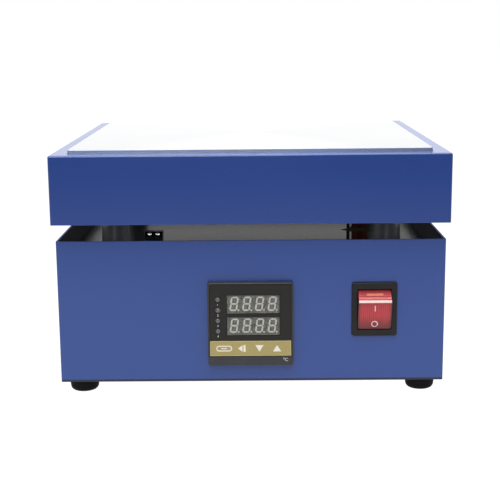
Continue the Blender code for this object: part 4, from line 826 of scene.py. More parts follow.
class StudioSettings(bpy.types.PropertyGroup):
    sky: level_setting("Sky", "Level of the even light from all round", 0.30)
    softbox: level_setting("Softbox", "Power of the light overhead", 7.5, "POWER")
    front_softbox: level_setting("Front softbox", "Power of the light beside the camera", 6.5, "POWER")
    camera_softbox: level_setting("Camera softbox", "Power of the small light by the camera", 1.2, "POWER")
    back_softbox: level_setting("Back softbox", "Power of the light behind", 2.5, "POWER")
    white: level_setting("White", "Level of the floor in the picture", 1.2)
    near_floor: level_setting("Near floor", "What the gloss sees close by", 0.85)
    far_floor: level_setting("Far floor", "What the gloss sees a metre away", 0.06)
    dim_front: level_setting("Dim front", "What the gloss sees behind the camera", 0.04)
    floor: colour_setting("Floor", "Colour of the floor", "#F8F8F8")


# ---------------------------------------------------------------- housings


def folded_sheet(name, low, high, rim):
    """A box folded from one sheet, open at the top, or with a rim turned in to an opening of that size."""
    form = bpy.context.scene.hot_plate_housings
    bm = bmesh.new()
    block(bm, low, high)
    bmesh.ops.delete(bm, geom=[face for face in bm.faces if face.normal.z > 0.5], context="FACES_ONLY")
    if rim:
        # The rim falls a little over its outer 3 mm, where the sheet draws round the bend
        run, drop = 0.0030, 0.00025
        wide, deep = high[0] - low[0], high[1] - low[1]
        mouth = [edge for edge in bm.edges if edge.is_boundary]
        bmesh.ops.translate(bm, vec=(0, 0, -drop), verts=list({vert for edge in mouth for vert in edge.verts}))
        for size, rise in (((wide - 2 * run, deep - 2 * run), drop), (rim, 0.0)):
            was = [max(edge.verts[0].co[axis] for edge in mouth) * 2 for axis in (0, 1)]
            mouth, inner = grow(bm, mouth)
            bmesh.ops.scale(bm, vec=(size[0] / was[0], size[1] / was[1], 1.0), verts=inner)
            bmesh.ops.translate(bm, vec=(0, 0, rise), verts=inner)
        bmesh.ops.recalc_face_normals(bm, faces=bm.faces)
    obj = bare_piece(name, bm)
    change(obj, "SOLIDIFY", thickness=form.sheet, offset=-1.0, use_even_offset=True)
    widest = max(form.bottom_bend, form.corner_bend)
    with reshaping(obj) as thick:
        weight = thick.edges.layers.float.new("bevel_weight_edge")
        for edge in thick.edges:
            middle = (edge.verts[0].co + edge.verts[1].co) / 2
            along = (edge.verts[1].co - edge.verts[0].co).normalized()
            sides = (abs(middle.x) > high[0] - 1e-5, abs(middle.y) > high[1] - 1e-5)
            if abs(middle.z - low[2]) < 1e-6 and any(sides):
                edge[weight] = form.bottom_bend / widest
            elif (abs(along.z) > 0.9 and all(sides)) or (rim and abs(along.z) < 0.1 and any(sides)):
                edge[weight] = form.corner_bend / widest
    change(obj, "BEVEL", limit_method="WEIGHT", width=widest, segments=6)
    return obj


class HOTPLATE_OT_upper_housing(bpy.types.Operator):
    """Fold the upper housing, with its rim turned in round the heating plate"""

    bl_idname = "hotplate.upper_housing"
    bl_label = "Upper Housing"

    def execute(self, context):
        clearance = 0.0005
        rim = [PLATE_HIGH[axis] - PLATE_LOW[axis] + 2 * clearance for axis in (0, 1)]
        obj = folded_sheet("upper_shell", UPPER_LOW, UPPER_HIGH, rim)
        ease(obj, 50, context.scene.hot_plate_housings.sheet_edge)
        dress(obj, "hood_coat_painted_shade", instead_of=["upper_housing"])
        obj.data.materials.append(finish("rim_coat_painted_sheen"))
        # The top of the rim takes the paler coat of the painted sheen
        for face in obj.data.polygons:
            face.material_index = int(face.normal.z > 0.7 and face.center.z > UPPER_HIGH.z - 0.001)
        return {"FINISHED"}


class HOTPLATE_OT_lower_case(bpy.types.Operator):
    """Fold the lower case, cut its vents and screw seats, and press the bosses over its feet"""

    bl_idname = "hotplate.lower_case"
    bl_label = "Lower Case"

    def execute(self, context):
        form = context.scene.hot_plate_housings
        bottom = LOWER_LOW.z + form.boss_height
        obj = folded_sheet("lower_shell", (LOWER_LOW.x, LOWER_LOW.y, bottom), LOWER_HIGH, None)
        slots = bmesh.new()
        # Slots 3 mm wide and 26 mm long, in the back at the right and across the floor
        through, half_w, half_l = 3 * form.sheet, 0.0015, 0.0130
        for number in range(form.vents):
            x = (number - (form.vents - 1) / 2) * form.vent_pitch
            for at, reach, way in (
                (Vector((0.050 + x, BACK_Y, bottom + 0.040)), Vector((half_w, through, half_l)), along_y),
                (Vector((x, 0.056, bottom)), Vector((half_w, half_l, through)), along_z),
            ):
                soften(slots, edges_of(block(slots, at - reach, at + reach), way), half_w * 0.98, 6)
        carve(obj, slots)
        openings = bmesh.new()
        case_low, case_high, _ = span("controller_case")
        half = (case_high.x - case_low.x) / 2 - 0.0016
        for node, facing, wide, tall in (
            ("controller_case", PANEL_Y, half, half),
            ("switch_body", PANEL_Y, 0.0113, 0.0144),
            ("mains_inlet", BACK_Y, 0.0147, 0.0187),
        ):
            middle = span(node)[2]
            at, reach = Vector((middle.x, facing, middle.z)), Vector((wide, through, tall))
            block(openings, at - reach, at + reach)
        carve(obj, openings)
        seats = bmesh.new()
        # Countersinks for the side screws, with their holes
        cone = [(0.0, 0.0005), (0.0036, 0.0005), (0.0018, -0.0013), (0.0018, -0.004), (0.0, -0.004)]
        for corner, (sx, _) in CORNERS.items():
            low, high, middle = span(f"deck_screw_{corner}")
            middle.x = high.x if sx > 0 else low.x
            take(seats, spun(cone, middle, "X" if sx > 0 else "-X", 32))
        carve(obj, seats)
        ease(obj, 50, form.sheet_edge)
        # A flat boss pressed out round each foot
        drop, radius = form.boss_height, 0.0088
        outline = [(0.0, form.sheet / 2), (radius, form.sheet / 2), (radius, -drop + 0.0004)]
        outline += [(radius - 0.0001, -drop + 0.0002), (radius - 0.0004, -drop), (0.0, -drop)]
        with reshaping(obj) as bosses:
            for corner in CORNERS.values():
                at = foot_centre(*corner)
                take(bosses, spun(outline, (at.x, at.y, bottom), steps=64))
        dress(obj, "powder_coated_steel", instead_of=["lower_case"])
        obj.data.materials.append(finish("primer_and_painted_shade"))
        obj.data.materials.append(finish("powder_coated_edge"))
        # The inner walls and the faces turned down take the near-black painted shade; the top cut edges take the dull
        # coat
        skin = form.sheet / 2
        for face in obj.data.polygons:
            at, normal = face.center, face.normal
            inside = abs(at.x) < LOWER_HIGH.x - skin and abs(at.y) < LOWER_HIGH.y - skin and at.z > bottom + skin
            inner_wall = inside and max(abs(normal.x), abs(normal.y)) > 0.9
            face.material_index = 1 if inner_wall or normal.z < -0.45 else 0
            if normal.z > 0.3 and at.z > LOWER_HIGH.z - 0.001:
                face.material_index = 2
        return {"FINISHED"}


def foot_centre(sx, sy):
    """The middle of a foot, from the front left one."""
    x, y = (FOOT_LOW.x + FOOT_HIGH.x) / 2, (FOOT_LOW.y + FOOT_HIGH.y) / 2
    return Vector((-sx * x, -sy * y, FOOT_HIGH.z))


class HOTPLATE_OT_heating_plate(bpy.types.Operator):
    """Make the heating plate with its eased edges"""

    bl_idname = "hotplate.heating_plate"
    bl_label = "Heating Plate"

    def execute(self, context):
        bm = bmesh.new()
        soft_block(bm, PLATE_LOW, PLATE_HIGH, context.scene.hot_plate_plate.edge, 4)
        obj = piece("plate", bm, "face_turned_aluminium", instead_of=["heating_plate"])
        obj.data.materials.append(finish("milled_aluminium"))
        for face in obj.data.polygons:
            face.material_index = 0 if face.normal.z > 0.9 else 1
        return {"FINISHED"}


class HOTPLATE_OT_standoffs(bpy.types.Operator):
    """Turn the four standoffs between the housings"""

    bl_idname = "hotplate.standoffs"
    bl_label = "Standoffs"

    def execute(self, context):
        for corner in CORNERS:
            low, high, middle = span(f"standoff_{corner}")
            radius, half, chamfer, bore = (high.x - low.x) / 2, (high.z - low.z) / 2, 0.0008, 0.0028
            outline = [(bore, half), (radius - chamfer, half), (radius - 0.0001, half - chamfer + 0.0001)]
            outline += [(radius, half - chamfer - 0.0002)]
            outline += [(r, -z) for r, z in reversed(outline)] + [(bore, half)]
            name, bm = f"standoff_{corner}", spun(outline, middle, steps=96)
            piece(f"turned_{name}", bm, "turned_stainless", instead_of=[name])
        return {"FINISHED"}


class HOTPLATE_OT_feet(bpy.types.Operator):
    """Mould the four rubber feet with their recessed screws"""

    bl_idname = "hotplate.feet"
    bl_label = "Feet"

    def execute(self, context):
        radius, height = (FOOT_HIGH.x - FOOT_LOW.x) / 2, FOOT_HIGH.z
        sole, edge = 0.0081, 0.0027
        lip = [(0.0023, height), (radius - 0.0003, height), (radius, height - 0.0003)]
        arc = [math.pi / 2 * step / 8 for step in range(9)]
        rim = [(sole - edge + edge * math.cos(a), edge - edge * math.sin(a)) for a in arc]
        recess = [(0.0044, 0.0), (0.0041, 0.0003), (0.0041, 0.0040), (0.0023, 0.0040), (0.0023, height)]
        for corner, (sx, sy) in CORNERS.items():
            at = foot_centre(sx, sy)
            bm = spun(lip + rim + recess, (at.x, at.y, 0.0), steps=72)
            piece(f"moulded_foot_{corner}", bm, "moulded_rubber", instead_of=[f"foot_{corner}"])
        return {"FINISHED"}


# ---------------------------------------------------------------- fasteners


def cross_head(name, profile, at, axis, width, node):
    """A turned screw with a cross recess in its head."""
    bm = spun(profile, steps=40)
    obj = bare_piece(name, bm)
    top = max(height for _, height in profile)
    for turn in (0.0, math.pi / 2):
        slot = bmesh.new()
        verts = block(slot, (-width / 2, -width / 8, top - width * 0.30), (width / 2, width / 8, top + width))
        floor = [vert for vert in verts if vert.co.z < top]
        bmesh.ops.scale(slot, vec=(0.45, 0.8, 1.0), verts=floor)
        bmesh.ops.rotate(slot, matrix=Matrix.Rotation(turn, 3, "Z"), verts=slot.verts)
        carve(obj, slot)
    obj.data.transform(lay_along(axis, at))
    dress(obj, "plated_fastener", instead_of=[node])


def pan_profile(head, height, shank, length):
    """A pan head above its seat at 0, and the shank below."""
    crown = [(0.0, height), (head * 0.45, height * 0.97), (head * 0.75, height * 0.82), (head * 0.94, height * 0.5)]
    return crown + [(head, height * 0.12), (head * 0.98, 0.0), (shank, 0.0), (shank, -length), (0.0, -length)]


class HOTPLATE_OT_screws(bpy.types.Operator):
    """Make the visible screws: the deck's at the sides, the feet's and the inlet's"""

    bl_idname = "hotplate.screws"
    bl_label = "Screws"

    def execute(self, context):
        for corner, (sx, _) in CORNERS.items():
            low, high, at = span(f"deck_screw_{corner}")
            head, shank, length = (high.z - low.z) / 2, 0.0015, high.x - low.x
            rim = head - shank
            outline = [(0.0, 0.0), (head - 0.0001, 0.0), (head, -0.0001), (shank, -rim)]
            outline += [(shank, -length), (0.0, -length)]
            at.x = high.x if sx > 0 else low.x
            cross_head(f"side_screw_{corner}", outline, at, "X" if sx > 0 else "-X", head * 1.3, f"deck_screw_{corner}")
            low, high, at = span(f"foot_screw_{corner}")
            head, seat = (high.x - low.x) / 2, 0.0037
            outline = pan_profile(head, seat - low.z, 0.0020, high.z - seat)
            at.z = seat
            cross_head(f"sole_screw_{corner}", outline, at, "-Z", head * 1.2, f"foot_screw_{corner}")
        for side in ("left", "right"):
            low, high, at = span(f"inlet_screw_{side}")
            head, seat = (high.x - low.x) / 2, high.y - 0.0020
            outline = pan_profile(head, high.y - seat, 0.0015, seat - low.y)
            at.y = seat
            cross_head(f"flange_screw_{side}", outline, at, "Y", head * 1.2, f"inlet_screw_{side}")
        return {"FINISHED"}


# ---------------------------------------------------------------- in the gap between the housings


def stranded_tube(x, y, low, high, radius, strands, twist):
    """A bmesh of an upright sleeve whose strands wind slowly round it."""
    bm = bmesh.new()
    ring = bmesh.ops.create_circle(bm, radius=radius, segments=strands * 6)["verts"]
    for vert in ring:
        angle = math.atan2(vert.co.y, vert.co.x)
        vert.co.xy *= 1.0 - 0.09 * (0.5 - 0.5 * math.cos(strands * angle)) ** 2
    bmesh.ops.translate(bm, vec=(x, y, low), verts=ring)
    steps = 24
    edge = bm.edges[:]
    bmesh.ops.contextual_create(bm, geom=edge)
    for _ in range(steps):
        edge, verts = grow(bm, edge)
        bmesh.ops.translate(bm, vec=(0, 0, (high - low) / steps), verts=verts)
        bmesh.ops.rotate(bm, cent=(x, y, 0), matrix=Matrix.Rotation(twist / steps, 3, "Z"), verts=verts)
    bmesh.ops.contextual_create(bm, geom=edge)
    bmesh.ops.recalc_face_normals(bm, faces=bm.faces)
    return bm


class HOTPLATE_OT_leads(bpy.types.Operator):
    """Sleeve the leads in the gap, and make the tie round them and the terminal block beside them"""

    bl_idname = "hotplate.leads"
    bl_label = "Leads and Terminal"

    def execute(self, context):
        _, grommet_top, middle = span("deck_grommet")
        low, high, y = grommet_top.z - 0.003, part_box("upper_grommet")[0].z + 0.003, middle.y
        for name, x, radius, strands, look, slot in (
            ("live_sleeve", 0.0637, 0.00244, 10, "varnished_sleeve", "red_sleeve"),
            ("neutral_sleeve", 0.0686, 0.00244, 10, "varnished_sleeve", "red_sleeve"),
            ("probe_sleeve", 0.0593, 0.00098, 6, "dark_braid", "brown_braid"),
        ):
            bm = stranded_tube(x, y, low, high, radius, strands, math.radians(35))
            piece(name, bm, look, sharp=80)
        piece("tie", eased_copy("lead_tie", 0.0002), "glass_fibre_braid", instead_of=["lead_tie"])
        self.terminal()
        return {"FINISHED"}

    def terminal(self):
        """A black block with a sloped front, and two slotted clamp screws sunk in the slope."""
        low, high, middle = span("deck_terminal")
        slope = 0.0028
        bm = bmesh.new()
        edge = edges_of(block(bm, low, high), lambda at, along: at.y < low.y + 1e-6 and at.z > high.z - 1e-6)
        soften(bm, edge, slope, 1)
        soften(bm, bm.edges[:], 0.0003, 2)
        obj = bare_piece("terminal_block", bm)
        for side, word in ((-1, "left"), (1, "right")):
            place = Matrix.Translation((middle.x + side * 0.0025, low.y + slope / 2, high.z - slope / 2))
            well = spun([(0.0, 0.003), (0.0018, 0.003), (0.0018, -0.0004), (0.0, -0.0004)], steps=32)
            bmesh.ops.transform(well, matrix=place @ Matrix.Rotation(math.pi / 4, 4, "X"), verts=well.verts)
            carve(obj, well)
            crown = [(0.0, 0.0007), (0.0006, 0.00068), (0.0010, 0.0006), (0.0012, 0.0003), (0.0013, -0.0002)]
            crown += [(0.0013, -0.0006), (0.0, -0.0006)]
            head = bare_piece(f"clamp_head_{word}", spun(crown, steps=32))
            carve_block(head, (-0.002, -0.0002, 0.0002), (0.002, 0.0002, 0.002))
            head.data.transform(place @ Matrix.Rotation(math.radians(79), 4, "X"))
            dress(head, "plated_fastener")
        dress(obj, "textured_abs", instead_of=["deck_terminal"])


# ---------------------------------------------------------------- controller


def pointed_bar(bm, middle, length, width, depth, upright):
    """One segment: a flat bar with pointed ends, lying in the face."""
    bar = bmesh.new()
    half = Vector((length / 2, depth / 2, width / 2))
    soften(bar, edges_of(block(bar, -half, half), along_y), width * 0.48, 1)
    if upright:
        bmesh.ops.rotate(bar, matrix=Matrix.Rotation(math.pi / 2, 3, "Y"), verts=bar.verts)
    bmesh.ops.translate(bar, vec=middle, verts=bar.verts)
    take(bm, bar)


def flat_glyph(corners, depth):
    """A flat mark in the face from its corner points, with a little thickness."""
    bm = bmesh.new()
    thicken(bm, [bm.faces.new([bm.verts.new((x, 0.0, z)) for x, z in corners])], depth)
    return bm


class HOTPLATE_OT_controller(bpy.types.Operator):
    """Make the controller's bezel, its unlit digits, its lamps and the marks on its face"""

    bl_idname = "hotplate.controller"
    bl_label = "Controller"

    def execute(self, context):
        self.bezel()
        for row in ("upper", "lower"):
            self.digits(row, context.scene.hot_plate_controller)
        self.lamps()
        self.unit_mark()
        return {"FINISHED"}

    def bezel(self):
        low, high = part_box("controller_case")
        wall, seam = 0.0018, 0.0003
        body_low = (low.x + wall, PANEL_Y - 0.002, low.z + wall)
        body_high = (high.x - wall, high.y, high.z - wall)
        front_high = (high.x, PANEL_Y - seam, high.z)
        obj = round_panel("controller_bezel", low, front_high, -1, 0.0012, 0.0007, body_low, body_high)
        face_low, face_high, _ = span("controller_fascia")
        face_low = Vector((face_low.x, face_low.y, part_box("key_strip")[0].z))
        carve_block(obj, face_low - Vector((seam, 0.001, seam)), face_high + Vector((seam, seam, seam)))
        inner = 0.0015
        cavity_low = (body_low[0] + inner, face_high.y, body_low[2] + inner)
        carve_block(obj, cavity_low, (body_high[0] - inner, high.y + 0.01, body_high[2] - inner))
        dress(obj, "grained_bezel_abs", instead_of=["controller_case"])

    def digits(self, row, form):
        low, _, middle = span(f"display_{row}")
        depth, stroke = 0.00012, form.stroke
        reach = (form.digit_height - stroke) / 2
        side = (form.digit_width - stroke) / 2
        bm = bmesh.new()
        for place in range(4):
            x = (place - 1.5) * form.digit_pitch
            for z in (-reach, 0.0, reach):
                pointed_bar(bm, (x, 0, z), form.digit_width - stroke - 0.0003, stroke, depth, False)
            for along in (-side, side):
                for z in (-reach / 2, reach / 2):
                    pointed_bar(bm, (x + along, 0, z), reach - 0.0003, stroke, depth, True)
            outline = [(0.0, depth / 2), (stroke * 0.55, depth / 2), (stroke * 0.55, -depth / 2), (0.0, -depth / 2)]
            take(bm, spun(outline, (x + side + 1.35 * stroke, 0, -reach), "Y", 20))
        lean = Matrix()
        lean[0][2] = math.tan(form.slant)
        bmesh.ops.transform(bm, matrix=lean, verts=bm.verts)
        at = Vector((middle.x, low.y - depth / 2, middle.z + 0.0004))
        bmesh.ops.translate(bm, vec=at, verts=bm.verts)
        piece(f"digits_{row}", bm, "segment_diffuser", sharp=20)

    def lamps(self):
        low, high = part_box("light_guide")
        x, pitch, radius = (low.x + high.x) / 2, 0.0061, 0.00138
        first = high.z - (high.x - low.x) / 2
        dome = [(0.0, 0.00042), (0.0006, 0.00038), (0.0010, 0.00024), (radius, 0.0)]
        dome += [(radius, -0.0004), (0.0, -0.0004)]
        for number in range(4):
            at = (x, low.y, first - number * pitch)
            piece(f"lamp_{number + 1}", spun(dome, at, "-Y", 32), "lamp_lens", sharp=70)
            self.number_mark(str(number + 1), (x, low.y, at[2] - 0.0029), 0.0016)

    def number_mark(self, word, at, size):
        """A plain number printed on the face."""
        curve = bpy.data.curves.new(f"mark_{word}", "FONT")
        curve.body, curve.size, curve.align_x, curve.align_y = word, size, "CENTER", "CENTER"
        curve.extrude = 0.00002
        letter = bpy.data.objects.new(f"mark_{word}", curve)
        bpy.context.scene.collection.objects.link(letter)
        bpy.context.view_layer.update()
        mesh = bpy.data.meshes.new_from_object(letter.evaluated_get(bpy.context.evaluated_depsgraph_get()))
        bpy.data.objects.remove(letter)
        bm = bmesh.new()
        bm.from_mesh(mesh)
        bmesh.ops.remove_doubles(bm, verts=bm.verts, dist=1e-7)
        bmesh.ops.rotate(bm, matrix=Matrix.Rotation(math.pi / 2, 3, "X"), verts=bm.verts)
        bmesh.ops.translate(bm, vec=Vector(at) - Vector((0, 0.00002, 0)), verts=bm.verts)
        piece(f"number_{word}", bm, "ivory_ink", sharp=20)

    def unit_mark(self):
        """The degree ring and the C of the temperature scale, at the lower right."""
        low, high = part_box("controller_case")
        x, z, y = high.x - 0.0040, low.z + 0.0034, low.y
        ring = [(0.00030, 0.00003), (0.00045, 0.00003), (0.00045, -0.0001), (0.00030, -0.0001), (0.00030, 0.00003)]
        piece("degree_ring", spun(ring, (x - 0.0012, y, z + 0.0007), "-Y", 24), "ivory_ink")
        self.number_mark("C", (x + 0.0002, y, z), 0.0026)


class HOTPLATE_OT_keys(bpy.types.Operator):
    """Make the film pads of the four keys with their arrows, and the pale line round the strip"""

    bl_idname = "hotplate.keys"
    bl_label = "Keys"

    def execute(self, context):
        strip_low, strip_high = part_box("key_strip")
        face = strip_low.y
        for key in ("key_set", "key_shift", "key_down", "key_up"):
            low, high, middle = span(key)
            bm = bmesh.new()
            lip, back = Vector((0.00023, 0, 0.00023)), Vector((high.x, high.y - 0.0002, high.z))
            soft_block(bm, Vector((low.x, face - 0.00006, low.z)) + lip, back - lip, 0.0001, 2)
            block(bm, (low.x, high.y - 0.001, low.z), back)
            piece(f"{key}_pad", bm, "gold_keypad_film", body=key, instead_of=[key])
            mark = self.mark(key)
            bmesh.ops.translate(mark, vec=(middle.x, face - 0.00009, middle.z), verts=mark.verts)
            piece(f"{key}_mark", mark, "ivory_ink", body=key, sharp=20)
        line = bmesh.new()
        width = 0.00028
        for low, high in (
            ((strip_low.x, strip_low.z), (strip_high.x, strip_low.z + width)),
            ((strip_low.x, strip_high.z - width), (strip_high.x, strip_high.z)),
            ((strip_low.x, strip_low.z + width), (strip_low.x + width, strip_high.z - width)),
            ((strip_high.x - width, strip_low.z + width), (strip_high.x, strip_high.z - width)),
        ):
            block(line, (low[0], face - 0.00002, low[1]), (high[0], face + 0.0001, high[1]))
        piece("strip_line", line, "pale_gold_line", sharp=20)
        return {"FINISHED"}

    def mark(self, key):
        """Each key's sign about its own middle: a capsule, a left arrow at a bar, a down and an up arrow."""
        depth = 0.00006
        if key == "key_down":
            return flat_glyph([(-0.00235, 0.0019), (0.00235, 0.0019), (0.0, -0.0019)], depth)
        if key == "key_up":
            return flat_glyph([(-0.00235, -0.0019), (0.00235, -0.0019), (0.0, 0.0019)], depth)
        if key == "key_shift":
            bm = flat_glyph([(0.0004, 0.0020), (0.0004, -0.0020), (-0.0021, 0.0)], depth)
            block(bm, (0.0009, 0, -0.0020), (0.0021, depth, 0.0020))
            return bm
        bm, steps = bmesh.new(), 32
        for radius in (0.0017, 0.0011):
            ring = bmesh.ops.create_circle(bm, radius=radius, segments=steps)["verts"]
            bmesh.ops.rotate(bm, matrix=Matrix.Rotation(math.pi / steps, 3, "Z"), verts=ring)
            for vert in ring:
                vert.co = (vert.co.x + math.copysign(0.0028, vert.co.x), 0.0, vert.co.y)
        thicken(bm, bmesh.ops.bridge_loops(bm, edges=bm.edges[:])["faces"], depth)
        block(bm, (-0.0016, 0, -0.0003), (0.0016, depth, 0.0003))
        return bm


# ---------------------------------------------------------------- power switch


class HOTPLATE_OT_switch(bpy.types.Operator):
    """Mould the switch's bezel, and its ribbed red rocker with the two stamped signs"""

    bl_idname = "hotplate.switch"
    bl_label = "Power Switch"

    def execute(self, context):
        self.frame()
        self.rocker(context.scene.hot_plate_switch)
        return {"FINISHED"}

    def frame(self):
        low, high, middle = span("switch_body")
        seam, depth = 0.0003, 0.0220
        barrel_low = (middle.x - 0.0111, low.y + 0.001, middle.z - 0.0142)
        barrel_high = (middle.x + 0.0111, low.y + depth, middle.z + 0.0142)
        front_high = (high.x, PANEL_Y - seam, high.z)
        obj = round_panel("switch_frame", low, front_high, -1, 0.0014, 0.0007, barrel_low, barrel_high)
        mouth = bmesh.new()
        wide, tall, room = 0.0096, 0.01175, 0.0125
        mouth_low = (middle.x - wide, low.y - 0.01, middle.z - tall)
        verts = block(mouth, mouth_low, (middle.x + wide, low.y + 0.003, middle.z + tall))
        soften(mouth, edges_of(verts, along_y), 0.0006, 3)
        carve(obj, mouth)
        room_low = (middle.x - wide, low.y + 0.0014, middle.z - room)
        carve_block(obj, room_low, (middle.x + wide, low.y + 0.0132, middle.z + room))
        with reshaping(obj) as blades:
            for sx, sz in CORNERS.values():
                x, z = middle.x + sx * 0.0055, middle.z + sz * 0.0070
                blade_low = (x - 0.0004, low.y + depth - 0.002, z - 0.00315)
                soft_block(blades, blade_low, (x + 0.0004, high.y, z + 0.00315), 0.0001, 1)
        ease(obj, 60, 0.00015)
        dress(obj, "textured_abs", instead_of=["switch_body"])

    def rocker(self, form):
        """The ribbed rocker leaning on its pivots, with a rolled crest and the lamp behind its upper end."""
        lean = Matrix.Translation(ROCKER_PIVOT) @ Matrix.Rotation(form.tilt, 4, "X")
        # The side view as (out, up) from the pivot: the hollow face, the crest of each end, and the back of the end
        end = [(0.0024, 0.01196), (0.0, 0.0122), (-0.0016, 0.0121)]
        outline = [(0.00885, 0.0), (0.00895, 0.00445), (0.00935, 0.0086), (0.00604, 0.01026), *end]
        outline += [(out, -z) for out, z in reversed(end)]
        outline += [(0.00637, -0.01028), (0.00935, -0.0092), (0.00895, -0.00445)]
        bm = bmesh.new()
        corners = [bm.verts.new((0.0, -out, z)) for out, z in outline]
        bm.faces.new(corners)
        soften(bm, [corners[2], corners[-2]], 0.0010, 6, "VERTICES")
        low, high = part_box("switch_rocker")
        # Drawn out sideways in small steps that swell and shrink as the ribs do, with rounded ends
        width, ribs, cuts, rib_depth, rounding = 0.0186, 17, 6, 0.00010, 0.00035
        bmesh.ops.translate(bm, vec=(-width / 2, 0, 0), verts=bm.verts)
        edges, size = bm.edges[:], 1.0
        for step in range(ribs * cuts + 1):
            share = step / (ribs * cuts)
            turn = math.cos(2 * math.pi * share * ribs)
            near_end = max(0.0, rounding - width * min(share, 1 - share))
            inset = rib_depth * (0.5 + 0.5 * turn) + near_end**2 / (2 * rounding)
            wanted = 1.0 - inset / 0.0092
            if step:
                edges, verts = grow(bm, edges)
                bmesh.ops.translate(bm, vec=(width / ribs / cuts, 0, 0), verts=verts)
            else:
                verts = bm.verts[:]
            bmesh.ops.scale(bm, vec=(1.0, wanted / size, wanted / size), verts=verts)
            size = wanted
        bmesh.ops.contextual_create(bm, geom=edges)
        bmesh.ops.recalc_face_normals(bm, faces=bm.faces)
        bmesh.ops.transform(bm, matrix=lean, verts=bm.verts)
        obj = bare_piece("rocker_moulding", bm)
        # Places on the upper end: across, into the moulding, and down from the crest
        crest, length = (0.0, -0.00935, 0.0086), 0.0077
        turned = Matrix(((1, 0, 0), (0, 0.435, -0.900), (0, 0.900, 0.435))).transposed().to_4x4()
        end = lean @ Matrix.Translation(crest) @ turned
        grooves = bmesh.new()
        for share in (0.19, 0.47):
            block(grooves, (-0.0088, -0.001, share * length - 0.00018), (0.0088, 0.0005, share * length + 0.00018))
        bmesh.ops.transform(grooves, matrix=end, verts=grooves.verts)
        carve(obj, grooves)
        reach = (high.x - low.x) / 2 - 0.001
        outline = [(0.0, 0.001), (0.0014, 0.001), (0.0014, -0.002), (0.0, -0.002)]
        with reshaping(obj) as whole:
            if whole.calc_volume(signed=True) < 0:
                bmesh.ops.reverse_faces(whole, faces=whole.faces)
            for side, axis in ((-1, "-X"), (1, "X")):
                pin = spun(outline, (side * reach, 0, 0), axis, 24)
                bmesh.ops.transform(pin, matrix=lean, verts=pin.verts)
                take(whole, pin)
        dress(obj, "red_polycarbonate", body="rocker", instead_of=["switch_rocker"])
        obj.data.materials.append(finish("crest_painted_highlight"))
        obj.data.materials.append(finish("red_end_painted_light"))
        # Faces of the crest take the painted highlight, the rest of the upper end its painted light and shade
        upright = lean.to_3x3().inverted()
        for face in obj.data.polygons:
            normal, at = upright @ face.normal, lean.inverted() @ face.center
            rise = math.degrees(math.atan2(normal.z, -normal.y))
            if at.z > 0.007 and abs(normal.x) < 0.7 and 4 < rise < 80:
                face.material_index = 1 if rise < 57 and at.y < -0.0078 else 2
        window = bmesh.new()
        soft_block(window, (-0.0046, -0.00006, 0.55 * length), (0.0046, 0.0006, 0.74 * length), 0.00003, 1)
        bmesh.ops.transform(window, matrix=end, verts=window.verts)
        piece("lamp_reflector", window, "lamp_window", body="rocker")
        ring = [(0.00138, 0.0), (0.00185, 0.0), (0.00185, -0.0003), (0.00138, -0.0003), (0.00138, 0.0)]
        off = spun(ring, (0, 0, -0.0058), "-Y", 40)
        self.stamp("sign_off", off, lean)
        on = bmesh.new()
        block(on, (-0.00026, 0.0, 0.0023), (0.00026, 0.0003, 0.0061))
        bmesh.ops.subdivide_edges(on, edges=edges_of(on.verts, along_z), cuts=4)
        self.stamp("sign_on", on, lean)

    def stamp(self, name, bm, lean):
        """Lays a flat sign on the rocker's hollow face, which rises in two slopes to each end."""
        for vert in bm.verts:
            run = abs(vert.co.z) / 0.00445
            vert.co.y -= 0.00885 + 0.0001 * min(1.0, run) + 0.0003 * max(0.0, run - 1.0) + 0.00003
        bmesh.ops.transform(bm, matrix=lean, verts=bm.verts)
        piece(name, bm, "hot_stamped_white", body="rocker", sharp=20)


# ---------------------------------------------------------------- mains inlet


class HOTPLATE_OT_inlet(bpy.types.Operator):
    """Mould the mains inlet with its socket, its pins and its fuse drawer"""

    bl_idname = "hotplate.inlet"
    bl_label = "Mains Inlet"

    def execute(self, context):
        low, high, middle = span("mains_inlet")
        seam = BACK_Y + 0.0003
        barrel_low = (middle.x - 0.0145, low.y, middle.z - 0.0185)
        barrel_high = (middle.x + 0.0145, high.y - 0.001, middle.z + 0.0185)
        obj = round_panel("inlet_moulding", (low.x, seam, low.z), high, 1, 0.0050, 0.0006, barrel_low, barrel_high)
        socket = bmesh.new()
        wide, tall, centre = 0.0122, 0.0084, middle.z + 0.0070
        socket_low = (middle.x - wide, high.y - 0.0170, centre - tall)
        verts = block(socket, socket_low, (middle.x + wide, high.y + 0.01, centre + tall))
        soften(socket, edges_of(verts, lambda at, along: abs(along.y) > 0.9 and at.z > centre), 0.0048, 1)
        soften(socket, edges_of(socket.verts, along_y), 0.0006, 3)
        carve(obj, socket)
        bay_low, bay_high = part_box("fuse_drawer")
        gap = 0.0003
        bay_low = bay_low - Vector((gap, gap, gap))
        carve_block(obj, bay_low, (bay_high.x + gap, high.y + 0.01, bay_high.z + gap))
        ease(obj, 60, 0.0002)
        dress(obj, "textured_abs", instead_of=["mains_inlet"])
        for pin in ("live", "earth", "neutral"):
            pin_low, pin_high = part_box(f"inlet_pin_{pin}")
            bm = bmesh.new()
            tip = edges_of(block(bm, pin_low, pin_high), lambda at, along: at.y > pin_high.y - 1e-6)
            soften(bm, tip, 0.0007, 3)
            piece(f"contact_{pin}", bm, "nickelled_brass", instead_of=[f"inlet_pin_{pin}"])
        drawer, bm = "fuse_drawer", eased_copy("fuse_drawer", 0.00025)
        piece("drawer_moulding", bm, "textured_abs", body=drawer, instead_of=[drawer])
        return {"FINISHED"}


# ---------------------------------------------------------------- inner parts and stage


